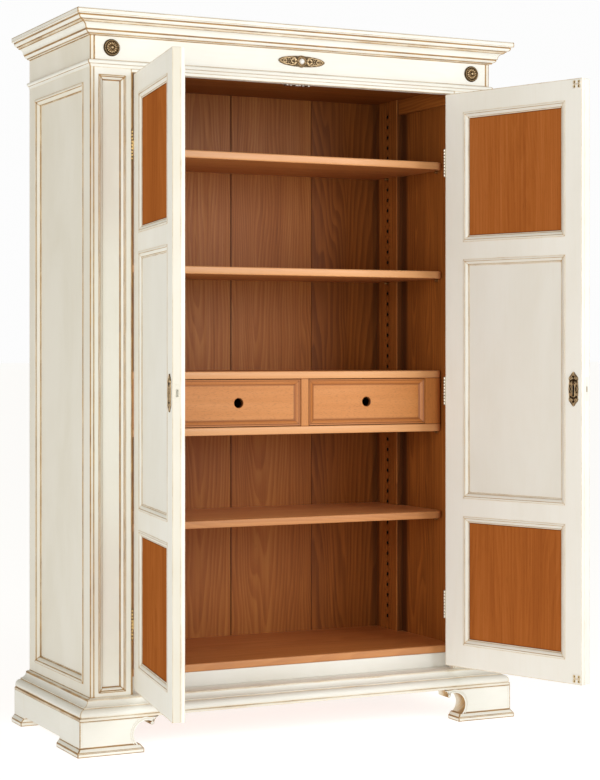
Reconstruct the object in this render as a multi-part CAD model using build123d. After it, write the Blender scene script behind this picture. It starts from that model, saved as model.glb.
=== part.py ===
from build123d import *
import os
from math import sin, cos, radians, sqrt, pi

# Two-door painted armoire.
# Millimetres, +Z up.  +X is to the right and +Y to the back when facing the
# doors.  The origin lies on the floor, below the middle of the stored object
# with its doors open; the front face of the pilasters is the plane Y = Y_FRONT.

os.makedirs("parts", exist_ok=True)

# ------------------------------------------------------------ driving sizes
HEIGHT = 1950.0          # floor to the top of the cornice
HALF_W = 612.0           # half the body width, outside the side frames
DEPTH = 510.0            # pilaster front to the back of the planks
Y_FRONT = -14.0          # pilaster front plane in the part's frame

CORNICE_OUT = 53.0       # overhang of the cornice slab
PLINTH_OUT = 44.5        # overhang of the plinth blocks
TOE_OUT = 53.0           # overhang of the toes
Z_TOE_TOP = 22.0
Z_TOE_BEAD = 11.0
Z_PLINTH_BOTTOM = 92.0
Z_PLINTH_TOP = 144.0
Z_ASTRAGAL_BOTTOM = 1806.0
Z_ASTRAGAL_TOP = 1824.0
Z_CROWN_BOTTOM = 1889.0
Z_TOP_BOARD = 1934.0
Z_OPENING_TOP = 1796.0

PILASTER_IN = 496.0      # inner edge of a pilaster
PILASTER_OUT = 604.0     # outer edge, against the corner lip of the side frame
PILASTER_T = 28.0
SIDE_T = 22.0            # side frame thickness
SIDE_LIP = 8.0           # lip that covers the pilaster's outer edge
SIDE_STILE = 54.0        # side frame member width
Z_SIDE_PANEL = (174.0, 1769.0)
Z_PIL_FIELD = (156.0, 1785.0)
PIL_FIELD = (513.0, 587.0)
RECESS = 12.0            # depth of the sunk fields in pilasters and sides

WALL = 522.0             # inner face of the linings
LINING_T = 12.0
BACK_FRONT = 488.0       # inner face of the back planks
PLANK_T = 18.0
PLANK_JOINTS = (-261.1, 9.3, 279.7)   # the planks are not all of one width
PLANK_GAP = 1.2
Z_FLOOR = (184.0, 205.5)
Z_CEILING = (1822.0, 1838.0)
RAIL_Y = (44.0, 65.0)

SHELF_T = 21.3
SHELF_FRONT = 97.5
SHELF_R = 30.0
POST_Y = (355.0, 466.0)
POST_T = 20.0
HOLE_ROW_Y = 413.0
HOLE_R = 4.0
HOLE_PITCH = 31.9
HOLE_Z0 = 563.8          # centre of the pin hole under the lower shelf
PIN_FRONT_Y = 140.0

DOOR_EDGE = 487.7        # hinge edge of a closed door
DOOR_W = 486.2
DOOR_FACE = 8.0          # outer face of a closed door, behind the pilaster front
DOOR_T = 32.0
Z_DOOR = (157.0, 1792.0)
STILE_HINGE = 67.0
STILE_LOCK = 59.0
REBATE = (3.0, 12.0)     # step on the leading edge, at the inner face
DOOR_RECESS = 7.0
DOOR_MOULD = 17.0
Z_TOP_FIELD = (1368.0, 1735.0)
Z_MID_FIELD = (639.0, 1317.0)
Z_LOW_FIELD = (222.0, 587.0)

HINGE_X = 492.0
HINGE_Y = 5.0
KNUCKLE_R = 3.6
PIN_R = 1.9
PIN_CLEAR = 0.08
HINGE_H = 80.0
HINGE_Z_LEFT = (1604.0, 330.0)
HINGE_Z_RIGHT = (1596.0, 943.0, 332.0)
LEFT_OPEN = 100.0        # opening of the left door as stored, degrees
RIGHT_OPEN = 108.8       # opening of the right door as stored, degrees

Z_UNIT_BOTTOM = (823.0, 845.0)
Z_UNIT_TOP = (979.0, 1000.3)
DIVIDER = (53.0, 77.0)
LEFT_DRAWER = (-324.5, 51.5)
RIGHT_DRAWER = (78.5, 454.5)
Z_DRAWER = (846.6, 977.4)
DRAWER_BACK = 462.0
FINGER_R = 13.5

LOCK_Z = 954.0
ORNAMENT_X = 6.0
CATCH_X = 8.0


# ------------------------------------------------------------ small helpers
def box(x0, x1, y0, y1, z0, z1):
    """Block between two corners; y is measured from the pilaster front."""
    return Pos((x0 + x1) / 2, (y0 + y1) / 2 + Y_FRONT, (z0 + z1) / 2) * Box(
        abs(x1 - x0), abs(y1 - y0), abs(z1 - z0))


def face_of(points, plane):
    """Closed outline.  A point is (a, b); ('arc', (mid), (end)) adds an arc."""
    def P(q):
        a, b = q
        if plane == "XY":
            return Vector(a, b + Y_FRONT, 0)
        if plane == "XZ":
            return Vector(a, Y_FRONT, b)
        return Vector(0, a + Y_FRONT, b)          # YZ
    edges, cur = [], points[0]
    for q in points[1:] + [points[0]]:
        if q[0] == "arc":
            edges.append(ThreePointArc(P(cur), P(q[1]), P(q[2])))
            cur = q[2]
        else:
            if (q[0] - cur[0]) ** 2 + (q[1] - cur[1]) ** 2 > 1e-12:
                edges.append(Line(P(cur), P(q)))
            cur = q
    return make_face(edges)


def prism(points, plane, lo, hi):
    """Outline pushed along the plane's normal between lo and hi."""
    f = face_of(points, plane)
    d = {"XY": Vector(0, 0, 1), "XZ": Vector(0, 1, 0), "YZ": Vector(1, 0, 0)}[plane]
    return Pos(d * lo) * extrude(f, amount=hi - lo, dir=d)


def cyl(x, y, z, r, h, axis="Z"):
    """Cylinder starting at (x, y, z) and running h along +axis."""
    c = Cylinder(r, h, align=(Align.CENTER, Align.CENTER, Align.MIN))
    rot = {"Z": Rot(0, 0, 0), "Y": Rot(-90, 0, 0), "X": Rot(0, 90, 0)}[axis]
    return Pos(x, y + Y_FRONT, z) * rot * c


def mirror_x(s):
    return mirror(s, about=Plane.YZ)


def solids_of(s):
    if isinstance(s, (list, tuple)):
        out = []
        for q in s:
            out += solids_of(q)
        return out
    return list(s.solids())


def save(name, *shapes):
    sol = solids_of(list(shapes))
    shape = sol[0] if len(sol) == 1 else Compound(children=sol)
    export_step(shape, f"parts/{name}.step")


def ring(a0, a1, z0, z1, width, section, to3d):
    """Mitred frame round a sunk field.

    The field's outer edge is the rectangle a0..a1 by z0..z1.  section is a list
    of (inset, height) points, height measured out of the face; to3d(a, z, h)
    places a point of the frame.
    """
    out = []
    corners = [(a0, z0, 1, 1), (a1, z0, -1, 1), (a1, z1, -1, -1), (a0, z1, 1, -1)]
    for i in range(4):
        c0, c1 = corners[i], corners[(i + 1) % 4]
        w0 = Wire.make_polygon([to3d(c0[0] + c0[2] * d, c0[1] + c0[3] * d, h) for d, h in section])
        w1 = Wire.make_polygon([to3d(c1[0] + c1[2] * d, c1[1] + c1[3] * d, h) for d, h in section])
        out.append(Solid.make_loft([w0, w1], ruled=True))
    return out


# -------------------------------------------------- cornice, frieze, top board
# crown section: distance out of the body face, height
CROWN = [
    (0.0, HEIGHT), (51.5, HEIGHT), ("arc", (52.6, HEIGHT - 0.5), (53.0, HEIGHT - 1.6)),
    (53.0, HEIGHT - 13.4), ("arc", (52.6, HEIGHT - 14.5), (51.5, HEIGHT - 15.0)),
    (46.0, HEIGHT - 15.0), (46.0, HEIGHT - 18.0),
    ("arc", (45.0, HEIGHT - 22.5), (40.5, HEIGHT - 26.0)),
    (37.0, HEIGHT - 26.0), (37.0, HEIGHT - 28.5), (33.0, HEIGHT - 28.5), (33.0, HEIGHT - 32.0),
    (30.5, HEIGHT - 32.0), ("arc", (21.5, HEIGHT - 38.0), (18.5, HEIGHT - 47.5)),
    (16.0, HEIGHT - 47.5), (16.0, HEIGHT - 51.0), ("arc", (13.6, HEIGHT - 54.6), (9.5, HEIGHT - 57.0)),
    (7.0, HEIGHT - 57.0), (7.0, HEIGHT - 60.0), (2.0, Z_CROWN_BOTTOM), (0.0, Z_CROWN_BOTTOM),
]
# astragal section
ASTRAGAL = [
    (0.0, Z_ASTRAGAL_TOP), (3.5, Z_ASTRAGAL_TOP), ("arc", (8.0, 1819.0), (4.5, 1813.5)),
    (3.0, 1813.5), ("arc", (1.8, 1809.5), (1.0, Z_ASTRAGAL_BOTTOM)), (0.0, Z_ASTRAGAL_BOTTOM),
]
# plinth moulding section: fillet, cove, torus, fillet
PLINTH = [
    (0.0, Z_PLINTH_TOP), (6.0, 143.0), (10.5, 140.5), (10.5, 138.0),
    ("arc", (15.5, 128.5), (26.5, 123.0)), (26.5, 121.0), (29.5, 120.0),
    ("arc", (39.5, 114.0), (42.0, 102.0)), (42.0, 99.0), (PLINTH_OUT, 97.5),
    (PLINTH_OUT, Z_PLINTH_BOTTOM), (0.0, Z_PLINTH_BOTTOM),
]


def shift(points, fn):
    out = []
    for q in points:
        if q[0] == "arc":
            out.append(("arc", fn(q[1]), fn(q[2])))
        else:
            out.append(fn(q))
    return out


def run_front(section, reach):
    """Front length of a moulding, mitred at both ends."""
    s = prism(shift(section, lambda p: (-p[0], p[1])), "YZ", -HALF_W - reach, HALF_W + reach)
    z0, z1 = 0.0, HEIGHT + 10
    k = reach + 5.0
    wedge = prism([(-HALF_W - k, -k), (HALF_W + k, -k), (HALF_W, 0), (-HALF_W, 0)], "XY", z0, z1)
    return s & wedge


def run_left(section, reach, back=DEPTH):
    """Left side length of a moulding, mitred at the front."""
    s = prism(shift(section, lambda p: (-HALF_W - p[0], p[1])), "XZ", -reach, back)
    k = reach + 5.0
    wedge = prism([(-HALF_W - k, -k), (-HALF_W, 0), (-HALF_W, back), (-HALF_W - k, back)], "XY", 0, HEIGHT + 10)
    return s & wedge


cornice_left = run_left(CROWN, CORNICE_OUT)
save("cornice_front", run_front(CROWN, CORNICE_OUT))
save("cornice_sides", cornice_left, mirror_x(cornice_left))
astragal_left = run_left(ASTRAGAL, 8.0)
save("astragal", run_front(ASTRAGAL, 8.0), astragal_left, mirror_x(astragal_left))
save("top_board", box(-HALF_W, HALF_W, 0, DEPTH, Z_TOP_BOARD, HEIGHT))
save("frieze_board", box(-PILASTER_OUT, PILASTER_OUT, 0, 22, Z_ASTRAGAL_BOTTOM, Z_TOP_BOARD))
save("header_rail", box(-PILASTER_IN, PILASTER_IN, 0, 24, Z_OPENING_TOP, Z_ASTRAGAL_BOTTOM))

# ------------------------------------------------------ pilasters and sides
fz0, fz1 = Z_PIL_FIELD
pilaster_r = box(PILASTER_IN, PILASTER_OUT, 0, PILASTER_T, Z_PLINTH_TOP, Z_ASTRAGAL_BOTTOM) \
    - box(PIL_FIELD[0], PIL_FIELD[1], -1, RECESS, fz0, fz1)
save("pilaster_right", pilaster_r)
save("pilaster_left", mirror_x(pilaster_r))

# sunk-field moulding of the pilasters and of the side frames
PIL_SECTION = [(0, 0.0), (0, 1.2), (3.0, 1.2), (4.5, -1.0), (9.0, -9.0), (11.0, -9.8), (11.0, -RECESS), (0, -RECESS)]
SIDE_SECTION = [(0, 0.0), (0, 2.0), (6.0, 2.0), (8.0, -0.5), (15.0, -8.5), (19.0, -9.5), (19.0, -RECESS), (0, -RECESS)]

pil_ring = ring(PIL_FIELD[0], PIL_FIELD[1], fz0, fz1, 11.0, PIL_SECTION,
                lambda a, z, h: Vector(a, -h + Y_FRONT, z))
sy0, sy1 = SIDE_STILE, DEPTH - SIDE_STILE
sz0, sz1 = Z_SIDE_PANEL
side_ring = ring(sy0, sy1, sz0, sz1, 19.0, SIDE_SECTION,
                 lambda a, z, h: Vector(-HALF_W - h, a + Y_FRONT, z))
save("carcass_mouldings", pil_ring, [mirror_x(s) for s in pil_ring],
     side_ring, [mirror_x(s) for s in side_ring])

x_in = HALF_W - SIDE_T
front_stile = prism([(-HALF_W, 0), (-PILASTER_OUT, 0), (-PILASTER_OUT, PILASTER_T),
                     (-x_in, PILASTER_T), (-x_in, sy0), (-HALF_W, sy0)], "XY", Z_PLINTH_BOTTOM, Z_TOP_BOARD)
side_left = [
    front_stile,
    box(-HALF_W, -x_in, sy1, DEPTH, Z_PLINTH_BOTTOM, Z_TOP_BOARD),
    box(-HALF_W, -x_in, sy0, sy1, sz1, Z_TOP_BOARD),
    box(-HALF_W, -x_in, sy0, sy1, Z_PLINTH_BOTTOM, sz0),
]
save("side_frame_left", side_left)
save("side_frame_right", [mirror_x(s) for s in side_left])
side_panel = box(-HALF_W + RECESS, -x_in - 2, sy0, sy1, sz0, sz1)
save("side_panels", side_panel, mirror_x(side_panel))

PIN_STEPS = (0, 8, 22, 32)           # hole numbers that hold the shelves and the unit
lining = box(-WALL - LINING_T, -WALL, PILASTER_T, BACK_FRONT, Z_FLOOR[0], Z_CEILING[0])
for n in PIN_STEPS:
    lining = lining - cyl(-WALL - LINING_T - 1, PIN_FRONT_Y, HOLE_Z0 + n * HOLE_PITCH, HOLE_R, LINING_T + 2, "X")
save("inner_lining_left", lining)
save("inner_lining_right", mirror_x(lining))

# battens in the space between lining and side frame
battens = []
for zc in (230.0, 640.0, 1050.0, 1460.0):
    battens.append(box(-x_in, -WALL - LINING_T, 60, 84, zc, zc + 45))
    battens.append(box(-x_in, -WALL - LINING_T, 440, 464, zc, zc + 45))
save("inner_battens", battens, [mirror_x(s) for s in battens])

# ------------------------------------------------------------- back and floor
planks = []
cuts = [-x_in - PLANK_GAP / 2, *PLANK_JOINTS, x_in + PLANK_GAP / 2]
for xa, xb_ in zip(cuts, cuts[1:]):
    planks.append(box(xa + PLANK_GAP / 2, xb_ - PLANK_GAP / 2, BACK_FRONT, BACK_FRONT + PLANK_T, Z_PLINTH_TOP, Z_TOP_BOARD))
save("back_planks", planks)

post = box(-WALL, -WALL + POST_T, POST_Y[0], POST_Y[1], Z_FLOOR[1], Z_CEILING[0])
for i in range(-10, 39):
    post = post - cyl(-WALL + POST_T - 12, HOLE_ROW_Y, HOLE_Z0 + i * HOLE_PITCH, HOLE_R, 14, "X")
# cleat under the ceiling and strip in the rear corner
side_strips = [box(-WALL, -WALL + 14, 44, POST_Y[0], 1776, Z_CEILING[0]),
               box(-WALL, -WALL + 18, 470, BACK_FRONT, Z_FLOOR[1], Z_CEILING[0])]
save("shelf_posts", post, mirror_x(post), side_strips, [mirror_x(s) for s in side_strips])


def board(x0, x1, y0, y1, r, z0, z1, notch=0.0):
    """Board with rounded front corners; notch narrows it round the posts."""
    q = r * (1 - 1 / sqrt(2))
    pts = [(x0 + r, y0), (x1 - r, y0), ("arc", (x1 - q, y0 + q), (x1, y0 + r))]
    if notch:
        yn = POST_Y[0] - 1.5
        pts += [(x1, yn), (x1 - notch, yn), (x1 - notch, y1), (x0 + notch, y1), (x0 + notch, yn), (x0, yn)]
    else:
        pts += [(x1, y1), (x0, y1)]
    pts += [(x0, y0 + r), ("arc", (x0 + q, y0 + q), (x0 + r, y0))]
    return prism(pts, "XY", z0, z1)


save("ceiling_panel", box(-x_in, x_in, 22, BACK_FRONT, Z_CEILING[0], Z_CEILING[1]))
save("floor_panel", board(-WALL, WALL, 43, BACK_FRONT, SHELF_R, Z_FLOOR[0], Z_FLOOR[1]))
save("bottom_rail", box(-x_in, x_in, RAIL_Y[0], RAIL_Y[1], Z_PLINTH_TOP, Z_FLOOR[0]))
save("base_frame",
     box(-PILASTER_OUT + 14, PILASTER_OUT - 14, 0, 65, Z_PLINTH_BOTTOM, Z_PLINTH_TOP),
     box(-x_in, x_in, 450, BACK_FRONT + PLANK_T, Z_PLINTH_BOTTOM, Z_PLINTH_TOP),
     box(-x_in, -x_in + 50, 65, 450, Z_PLINTH_BOTTOM, Z_PLINTH_TOP),
     box(x_in - 50, x_in, 65, 450, Z_PLINTH_BOTTOM, Z_PLINTH_TOP))

# -------------------------------------------------------------- plinth, feet
plinth_left = run_left(PLINTH, PLINTH_OUT)
save("plinth_moulding", run_front(PLINTH, PLINTH_OUT), plinth_left, mirror_x(plinth_left))

SCROLL = (-470.6, 47.0, 35.0)        # centre and radius of the bracket's scroll
CURL = (-453.8, 74.5, 5.6)           # the drop at the end of the scroll
BRACKET_END = -434.7                 # where the bracket meets the plinth
xb, xt = HALF_W + PLINTH_OUT, HALF_W + TOE_OUT
cx, cz, cr = SCROLL
x_low = cx - sqrt(cr ** 2 - (cz - Z_TOE_TOP) ** 2)
ux, uz, ur = CURL
gap = sqrt((ux - cx) ** 2 + (uz - cz) ** 2)
along = (cr ** 2 - ur ** 2 + gap ** 2) / (2 * gap)
across = sqrt(cr ** 2 - along ** 2)
ex, ez = (ux - cx) / gap, (uz - cz) / gap
meet = (cx + along * ex - across * ez, cz + along * ez + across * ex)   # where scroll and drop cross
heel = (ux + ur * cos(radians(20)), uz + ur * sin(radians(20)))
bracket = prism([(-xb, Z_TOE_TOP), (x_low, Z_TOE_TOP),
                 ("arc", (cx - cr * cos(radians(35)), cz + cr * sin(radians(35))), (cx, cz + cr)),
                 ("arc", (cx + cr * cos(radians(78)), cz + cr * sin(radians(78))), meet),
                 ("arc", (ux - ur, uz), (ux, uz - ur)),
                 ("arc", (ux + ur * cos(radians(-30)), uz + ur * sin(radians(-30))), heel),
                 ("arc", ((heel[0] + BRACKET_END) / 2 - 1.8, (heel[1] + Z_PLINTH_BOTTOM) / 2 + 1.8), (BRACKET_END, Z_PLINTH_BOTTOM)),
                 (-xb, Z_PLINTH_BOTTOM)], "XZ", -PLINTH_OUT, 8)
side_block = box(-xb, -HALF_W + 6, 8, 117, Z_TOE_TOP, Z_PLINTH_BOTTOM)


def toe(x0, x1, y0, y1, left, front, right=0.0):
    """Toe pad: straight lower part, sloped shoulder up to the block."""
    base = box(x0, x1, y0, y1, 0, Z_TOE_BEAD)
    w0 = Wire.make_polygon([Vector(x0, y0 + Y_FRONT, Z_TOE_BEAD), Vector(x1, y0 + Y_FRONT, Z_TOE_BEAD),
                            Vector(x1, y1 + Y_FRONT, Z_TOE_BEAD), Vector(x0, y1 + Y_FRONT, Z_TOE_BEAD)])
    w1 = Wire.make_polygon([Vector(x0 + left, y0 + front + Y_FRONT, Z_TOE_TOP),
                            Vector(x1 - right, y0 + front + Y_FRONT, Z_TOE_TOP),
                            Vector(x1 - right, y1 + Y_FRONT, Z_TOE_TOP), Vector(x0 + left, y1 + Y_FRONT, Z_TOE_TOP)])
    return base + Solid.make_loft([w0, w1], ruled=True)


s_out = TOE_OUT - PLINTH_OUT
foot = bracket + side_block + toe(-xt, -480, -TOE_OUT, 8, s_out, s_out, 8.9) \
    + toe(-xt, -HALF_W + 6, 8, 117, s_out, 0.0)
save("foot_front_left", foot)
save("foot_front_right", mirror_x(foot))
rear = box(-xb, -HALF_W + 22, 424, DEPTH, Z_TOE_TOP, Z_PLINTH_BOTTOM) \
    + toe(-xt, -HALF_W + 28, 424, DEPTH, s_out, 0.0, 6.0)
save("feet_rear", rear, mirror_x(rear))
apron = box(-xb, -HALF_W - PLINTH_OUT + 22, 117, 424, 27, Z_PLINTH_BOTTOM)
save("side_aprons", apron, mirror_x(apron))

# -------------------------------------------------------------------- shelves
EDGE = WALL - 1.5
pins = []
for name, step in (("shelf_lower", 0), ("shelf_middle", 22), ("shelf_upper", 32)):
    zc = HOLE_Z0 + step * HOLE_PITCH
    save(name, board(-EDGE, EDGE, SHELF_FRONT, BACK_FRONT - 1, SHELF_R, zc + 4.0, zc + 4.0 + SHELF_T, notch=20.0))
for n in PIN_STEPS:
    zc = HOLE_Z0 + n * HOLE_PITCH
    pins.append(cyl(-WALL + POST_T - 9, HOLE_ROW_Y, zc, 3.95, 20, "X"))
    pins.append(cyl(-WALL - 9, PIN_FRONT_Y, zc, 3.95, 20, "X"))
save("shelf_pins", pins, [mirror_x(s) for s in pins])

# ---------------------------------------------------------------- drawer unit
UR = 36.0
for name, zz in (("drawer_unit_bottom", Z_UNIT_BOTTOM), ("drawer_unit_top", Z_UNIT_TOP)):
    save(name, board(-EDGE, EDGE, SHELF_FRONT, BACK_FRONT - 1, UR, zz[0], zz[1], notch=20.0))
zu0, zu1 = Z_UNIT_BOTTOM[1], Z_UNIT_TOP[0]
q = UR * (1 - 1 / sqrt(2))
yf = SHELF_FRONT
end_right = prism([(456, yf), (EDGE - UR, yf), ("arc", (EDGE - q, yf + q), (EDGE, yf + UR)), (EDGE, yf + UR + 24),
                   (456, yf + UR + 24)], "XY", zu0, zu1)
end_left = prism([(-326, yf), (-326, yf + UR + 24), (-EDGE, yf + UR + 24), (-EDGE, yf + UR),
                  ("arc", (-EDGE + q, yf + q), (-EDGE + UR, yf))], "XY", zu0, zu1)
save("drawer_unit_uprights",
     box(DIVIDER[0], DIVIDER[1], yf, BACK_FRONT - 1, zu0, zu1),
     end_right, box(456, 472, yf + UR + 24, BACK_FRONT - 8, zu0, zu1),
     end_left, box(-342, -326, yf + UR + 24, BACK_FRONT - 8, zu0, zu1))


def drawer(side, x0, x1):
    z0, z1 = Z_DRAWER
    xc, zc = (x0 + x1) / 2, (z0 + z1) / 2
    t, m, rec = 20.0, 17.0, 8.0
    y0 = SHELF_FRONT + 0.5
    front = box(x0, x1, y0, y0 + t, z0, z1)
    # sunk centre with a sloped, mitred border
    a = [(x0 + 4, z0 + 4), (x1 - 4, z0 + 4), (x1 - 4, z1 - 4), (x0 + 4, z1 - 4)]
    b = [(x0 + m, z0 + m), (x1 - m, z0 + m), (x1 - m, z1 - m), (x0 + m, z1 - m)]
    cut = Solid.make_loft([
        Wire.make_polygon([Vector(p[0], y0 + Y_FRONT, p[1]) for p in a]),
        Wire.make_polygon([Vector(p[0], y0 + rec + Y_FRONT, p[1]) for p in b])], ruled=True)
    front = front - cut - cyl(xc, y0 - 1, zc, FINGER_R, t + 2, "Y")
    save(f"{side}_drawer_front", front)
    bx0, bx1 = x0 + 3, x1 - 3
    yb0, yb1 = y0 + t, DRAWER_BACK
    zt = z1 - 10
    save(f"{side}_drawer_box",
         box(bx0, bx0 + 12, yb0, yb1, z0 - 1.2, zt),
         box(bx1 - 12, bx1, yb0, yb1, z0 - 1.2, zt),
         box(bx0 + 12, bx1 - 12, yb1 - 12, yb1, z0 + 14, zt),
         box(bx0 + 12, bx1 - 12, yb0, yb1, z0 + 7, z0 + 13))


drawer("left", *LEFT_DRAWER)
drawer("right", *RIGHT_DRAWER)

# ------------------------------------------------------------ catch, ornaments
kx = CATCH_X
save("door_catch", box(kx - 36, kx + 36, 24, 42, 1793.6, 1814)
     - box(kx - 30, kx - 8, 23, 43, 1792, 1797) - box(kx + 8, kx + 30, 23, 43, 1792, 1797)
     + cyl(kx - 19, 33, 1793.8, 5.0, 4.0) + cyl(kx + 19, 33, 1793.8, 5.0, 4.0))


def turned(points, x, z):
    """Turned disc on the frieze, axis towards the front."""
    prof = make_face([Polyline(*[Vector(r, 0, h) for r, h in points], close=True)])
    s = revolve(prof, axis=Axis.Z, revolution_arc=360)
    return Pos(x, Y_FRONT, z) * Rot(90, 0, 0) * s


ROSETTE = [(0, 0), (23, 0), (23, 3), (20, 5), (17.5, 3.2), (13, 5.2), (9.5, 4.2), (7, 6.5), (3.5, 9.5), (0, 10.5)]
save("rosettes", turned(ROSETTE, -552, 1858), turned(ROSETTE, 552, 1858))
CARTOUCHE = [(0, 17), (4, 16.6), (8, 15.3), (14, 15), (22, 14.8), (31, 13.9), (40, 13), (50, 11.3),
             (56, 10), (62, 7.8), (66, 5.8), (69.5, 3.2), (71, 0)]
lens = CARTOUCHE + [(a, -b) for a, b in CARTOUCHE[-2::-1]] + [(-a, -b) for a, b in CARTOUCHE[1:]] \
    + [(-a, b) for a, b in CARTOUCHE[-2:0:-1]]
orn = Pos(ORNAMENT_X, Y_FRONT, 1858) * Rot(90, 0, 0) * (
    extrude(make_face(Polyline(*lens, close=True)), amount=3.0) + extrude(Ellipse(60, 9), amount=5.5)
    + extrude(Circle(14), amount=5.5) - Pos(0, 0, 3) * Cylinder(8, 10, align=(Align.CENTER, Align.CENTER, Align.MIN)))
save("centre_ornament", orn)
save("ornament_cabochon", turned([(0, 3), (8, 3), (8, 5), (6.5, 8), (4, 9.6), (0, 10.2)], ORNAMENT_X, 1858))


# ---------------------------------------------------------------------- doors
def scutcheon(side_y):
    """Key plate, 33 x 94, with a narrow key slot; stands out of side_y."""
    half = [(0, 47), (2.6, 45.6), (4.6, 43.2), (7.4, 40), (9.6, 37.4), (13, 34), (15.2, 31), (15.8, 27), (14.5, 22),
            (15, 17), (15.6, 10), (16, 4), (16.6, 0)]
    right = half + [(a, -b) for a, b in half[-2::-1]]
    body = make_face(Polyline(*right, *[(-a, b) for a, b in right[-2:0:-1]], close=True))
    slot = Pos(0, -4.5) * Rectangle(4.4, 22) + Pos(0, 6.5) * Circle(3.0)
    return extrude(body, amount=3.0) - extrude(slot, amount=3.0)


def section_ring(a0, a1, z0, z1, face, out):
    """Moulding of a door field on one face; out is -1 at the outer face."""
    sec = [(0, 0.0), (0, 0.8), (4.5, 0.8), (6.5, -0.8), (13.0, -5.2), (DOOR_MOULD, -5.8),
           (DOOR_MOULD, -DOOR_RECESS), (0, -DOOR_RECESS)]
    return ring(a0, a1, z0, z1, DOOR_MOULD, sec, lambda a, z, h: Vector(a, face + out * h + Y_FRONT, z))


def door_parts(s):
    """Closed door; s = -1 for the left one.  Returns node name -> solids."""
    e = DOOR_EDGE
    y0, y1 = DOOR_FACE, DOOR_FACE + DOOR_T
    z0, z1 = Z_DOOR

    def bx(l0, l1, ya, yb, za, zb):
        xa, xb_ = s * (e - l0), s * (e - l1)
        return box(min(xa, xb_), max(xa, xb_), ya, yb, za, zb)
    lock = DOOR_W - STILE_LOCK
    lock_stile = bx(lock, DOOR_W, y0, y1, z0, z1) - bx(DOOR_W - REBATE[0], DOOR_W + 1, y1 - REBATE[1], y1 + 1, z0 - 1, z1 + 1)
    frame = [bx(0, STILE_HINGE, y0, y1, z0, z1), lock_stile]
    fields = (Z_TOP_FIELD, Z_MID_FIELD, Z_LOW_FIELD)
    cuts = [z1] + [v for f in fields for v in (f[1], f[0])] + [z0]
    for i in range(0, len(cuts), 2):
        frame.append(bx(STILE_HINGE, lock, y0, y1, cuts[i + 1], cuts[i]))
    ya, yb = y0 + DOOR_RECESS, y1 - DOOR_RECESS
    panels = [bx(STILE_HINGE, lock, ya, yb, f[0], f[1]) for f in fields]
    xa, xb_ = sorted((s * (e - STILE_HINGE), s * (e - lock)))
    rings = []
    for f in fields:
        rings += section_ring(xa, xb_, f[0], f[1], y0, -1)
        rings += section_ring(xa, xb_, f[0], f[1], y1, 1)
    plates = [bx(452, 482, y1, y1 + 1.2, z1 - 28, z1 - 3), bx(452, 482, y1, y1 + 1.2, z0 + 3, z0 + 28)]
    leaves = []
    for zc in (HINGE_Z_LEFT if s < 0 else HINGE_Z_RIGHT):
        za, zb = zc - HINGE_H / 2, zc + HINGE_H / 2
        k0, k1 = zc - 13.0, zc + 13.0
        leaf = box(*sorted((s * e, s * (e + 2.0))), 9.6, 42.0, za, zb)
        leaf = leaf + cyl(s * (e + 1.8), 42.9, za, 2.1, HINGE_H)
        tab = box(*sorted((s * (e + 0.7), s * (e + 2.0))), HINGE_Y, 11.0, k0, k1)
        leaf = leaf + tab + cyl(s * HINGE_X, HINGE_Y, k0, KNUCKLE_R, k1 - k0)
        leaf = leaf - cyl(s * HINGE_X, HINGE_Y, k0 - 1, PIN_R + PIN_CLEAR, k1 - k0 + 2)
        leaves.append(leaf)
    ex = s * (e - (DOOR_W - STILE_LOCK / 2))
    plate_out = Pos(ex, y0 + Y_FRONT, LOCK_Z) * Rot(90, 0, 0) * scutcheon(0)
    plate_in = Pos(ex, y1 + Y_FRONT, LOCK_Z) * Rot(-90, 0, 0) * scutcheon(0)
    return frame, panels, rings, plates, leaves, plate_out, plate_in, bx


def swing(shape, s, angle):
    """Turns a closed door's piece about its hinge pin to the stored opening."""
    ax = Axis((s * HINGE_X, HINGE_Y + Y_FRONT, 0), (0, 0, s))
    if isinstance(shape, (list, tuple)):
        return [swing(q, s, angle) for q in shape]
    return shape.rotate(ax, angle)


# left door
frame, panels, rings, plates, leaves, p_out, p_in, bx = door_parts(-1)
strike_pocket = bx(DOOR_W - 12, DOOR_W + 1, DOOR_FACE + 9, DOOR_FACE + 15, LOCK_Z - 9, LOCK_Z + 9)
strike_bed = bx(DOOR_W - 1.5, DOOR_W + 1, DOOR_FACE + 6, DOOR_FACE + 18, LOCK_Z - 22, LOCK_Z + 22)
frame[1] = frame[1] - strike_pocket - strike_bed
strike = bx(DOOR_W - 1.5, DOOR_W, DOOR_FACE + 6, DOOR_FACE + 18, LOCK_Z - 22, LOCK_Z + 22) - strike_pocket
A = LEFT_OPEN
save("left_door_frame", swing(frame, -1, A))
save("left_door_wood_panels", swing([panels[0], panels[2]], -1, A))
save("left_door_middle_panel", swing(panels[1], -1, A))
save("left_door_mouldings", swing(rings, -1, A))
save("left_door_plates", swing(plates + [strike], -1, A))
save("left_door_hinge_leaves", swing(leaves, -1, A))
save("left_door_escutcheon", swing(p_out, -1, A))

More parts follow.
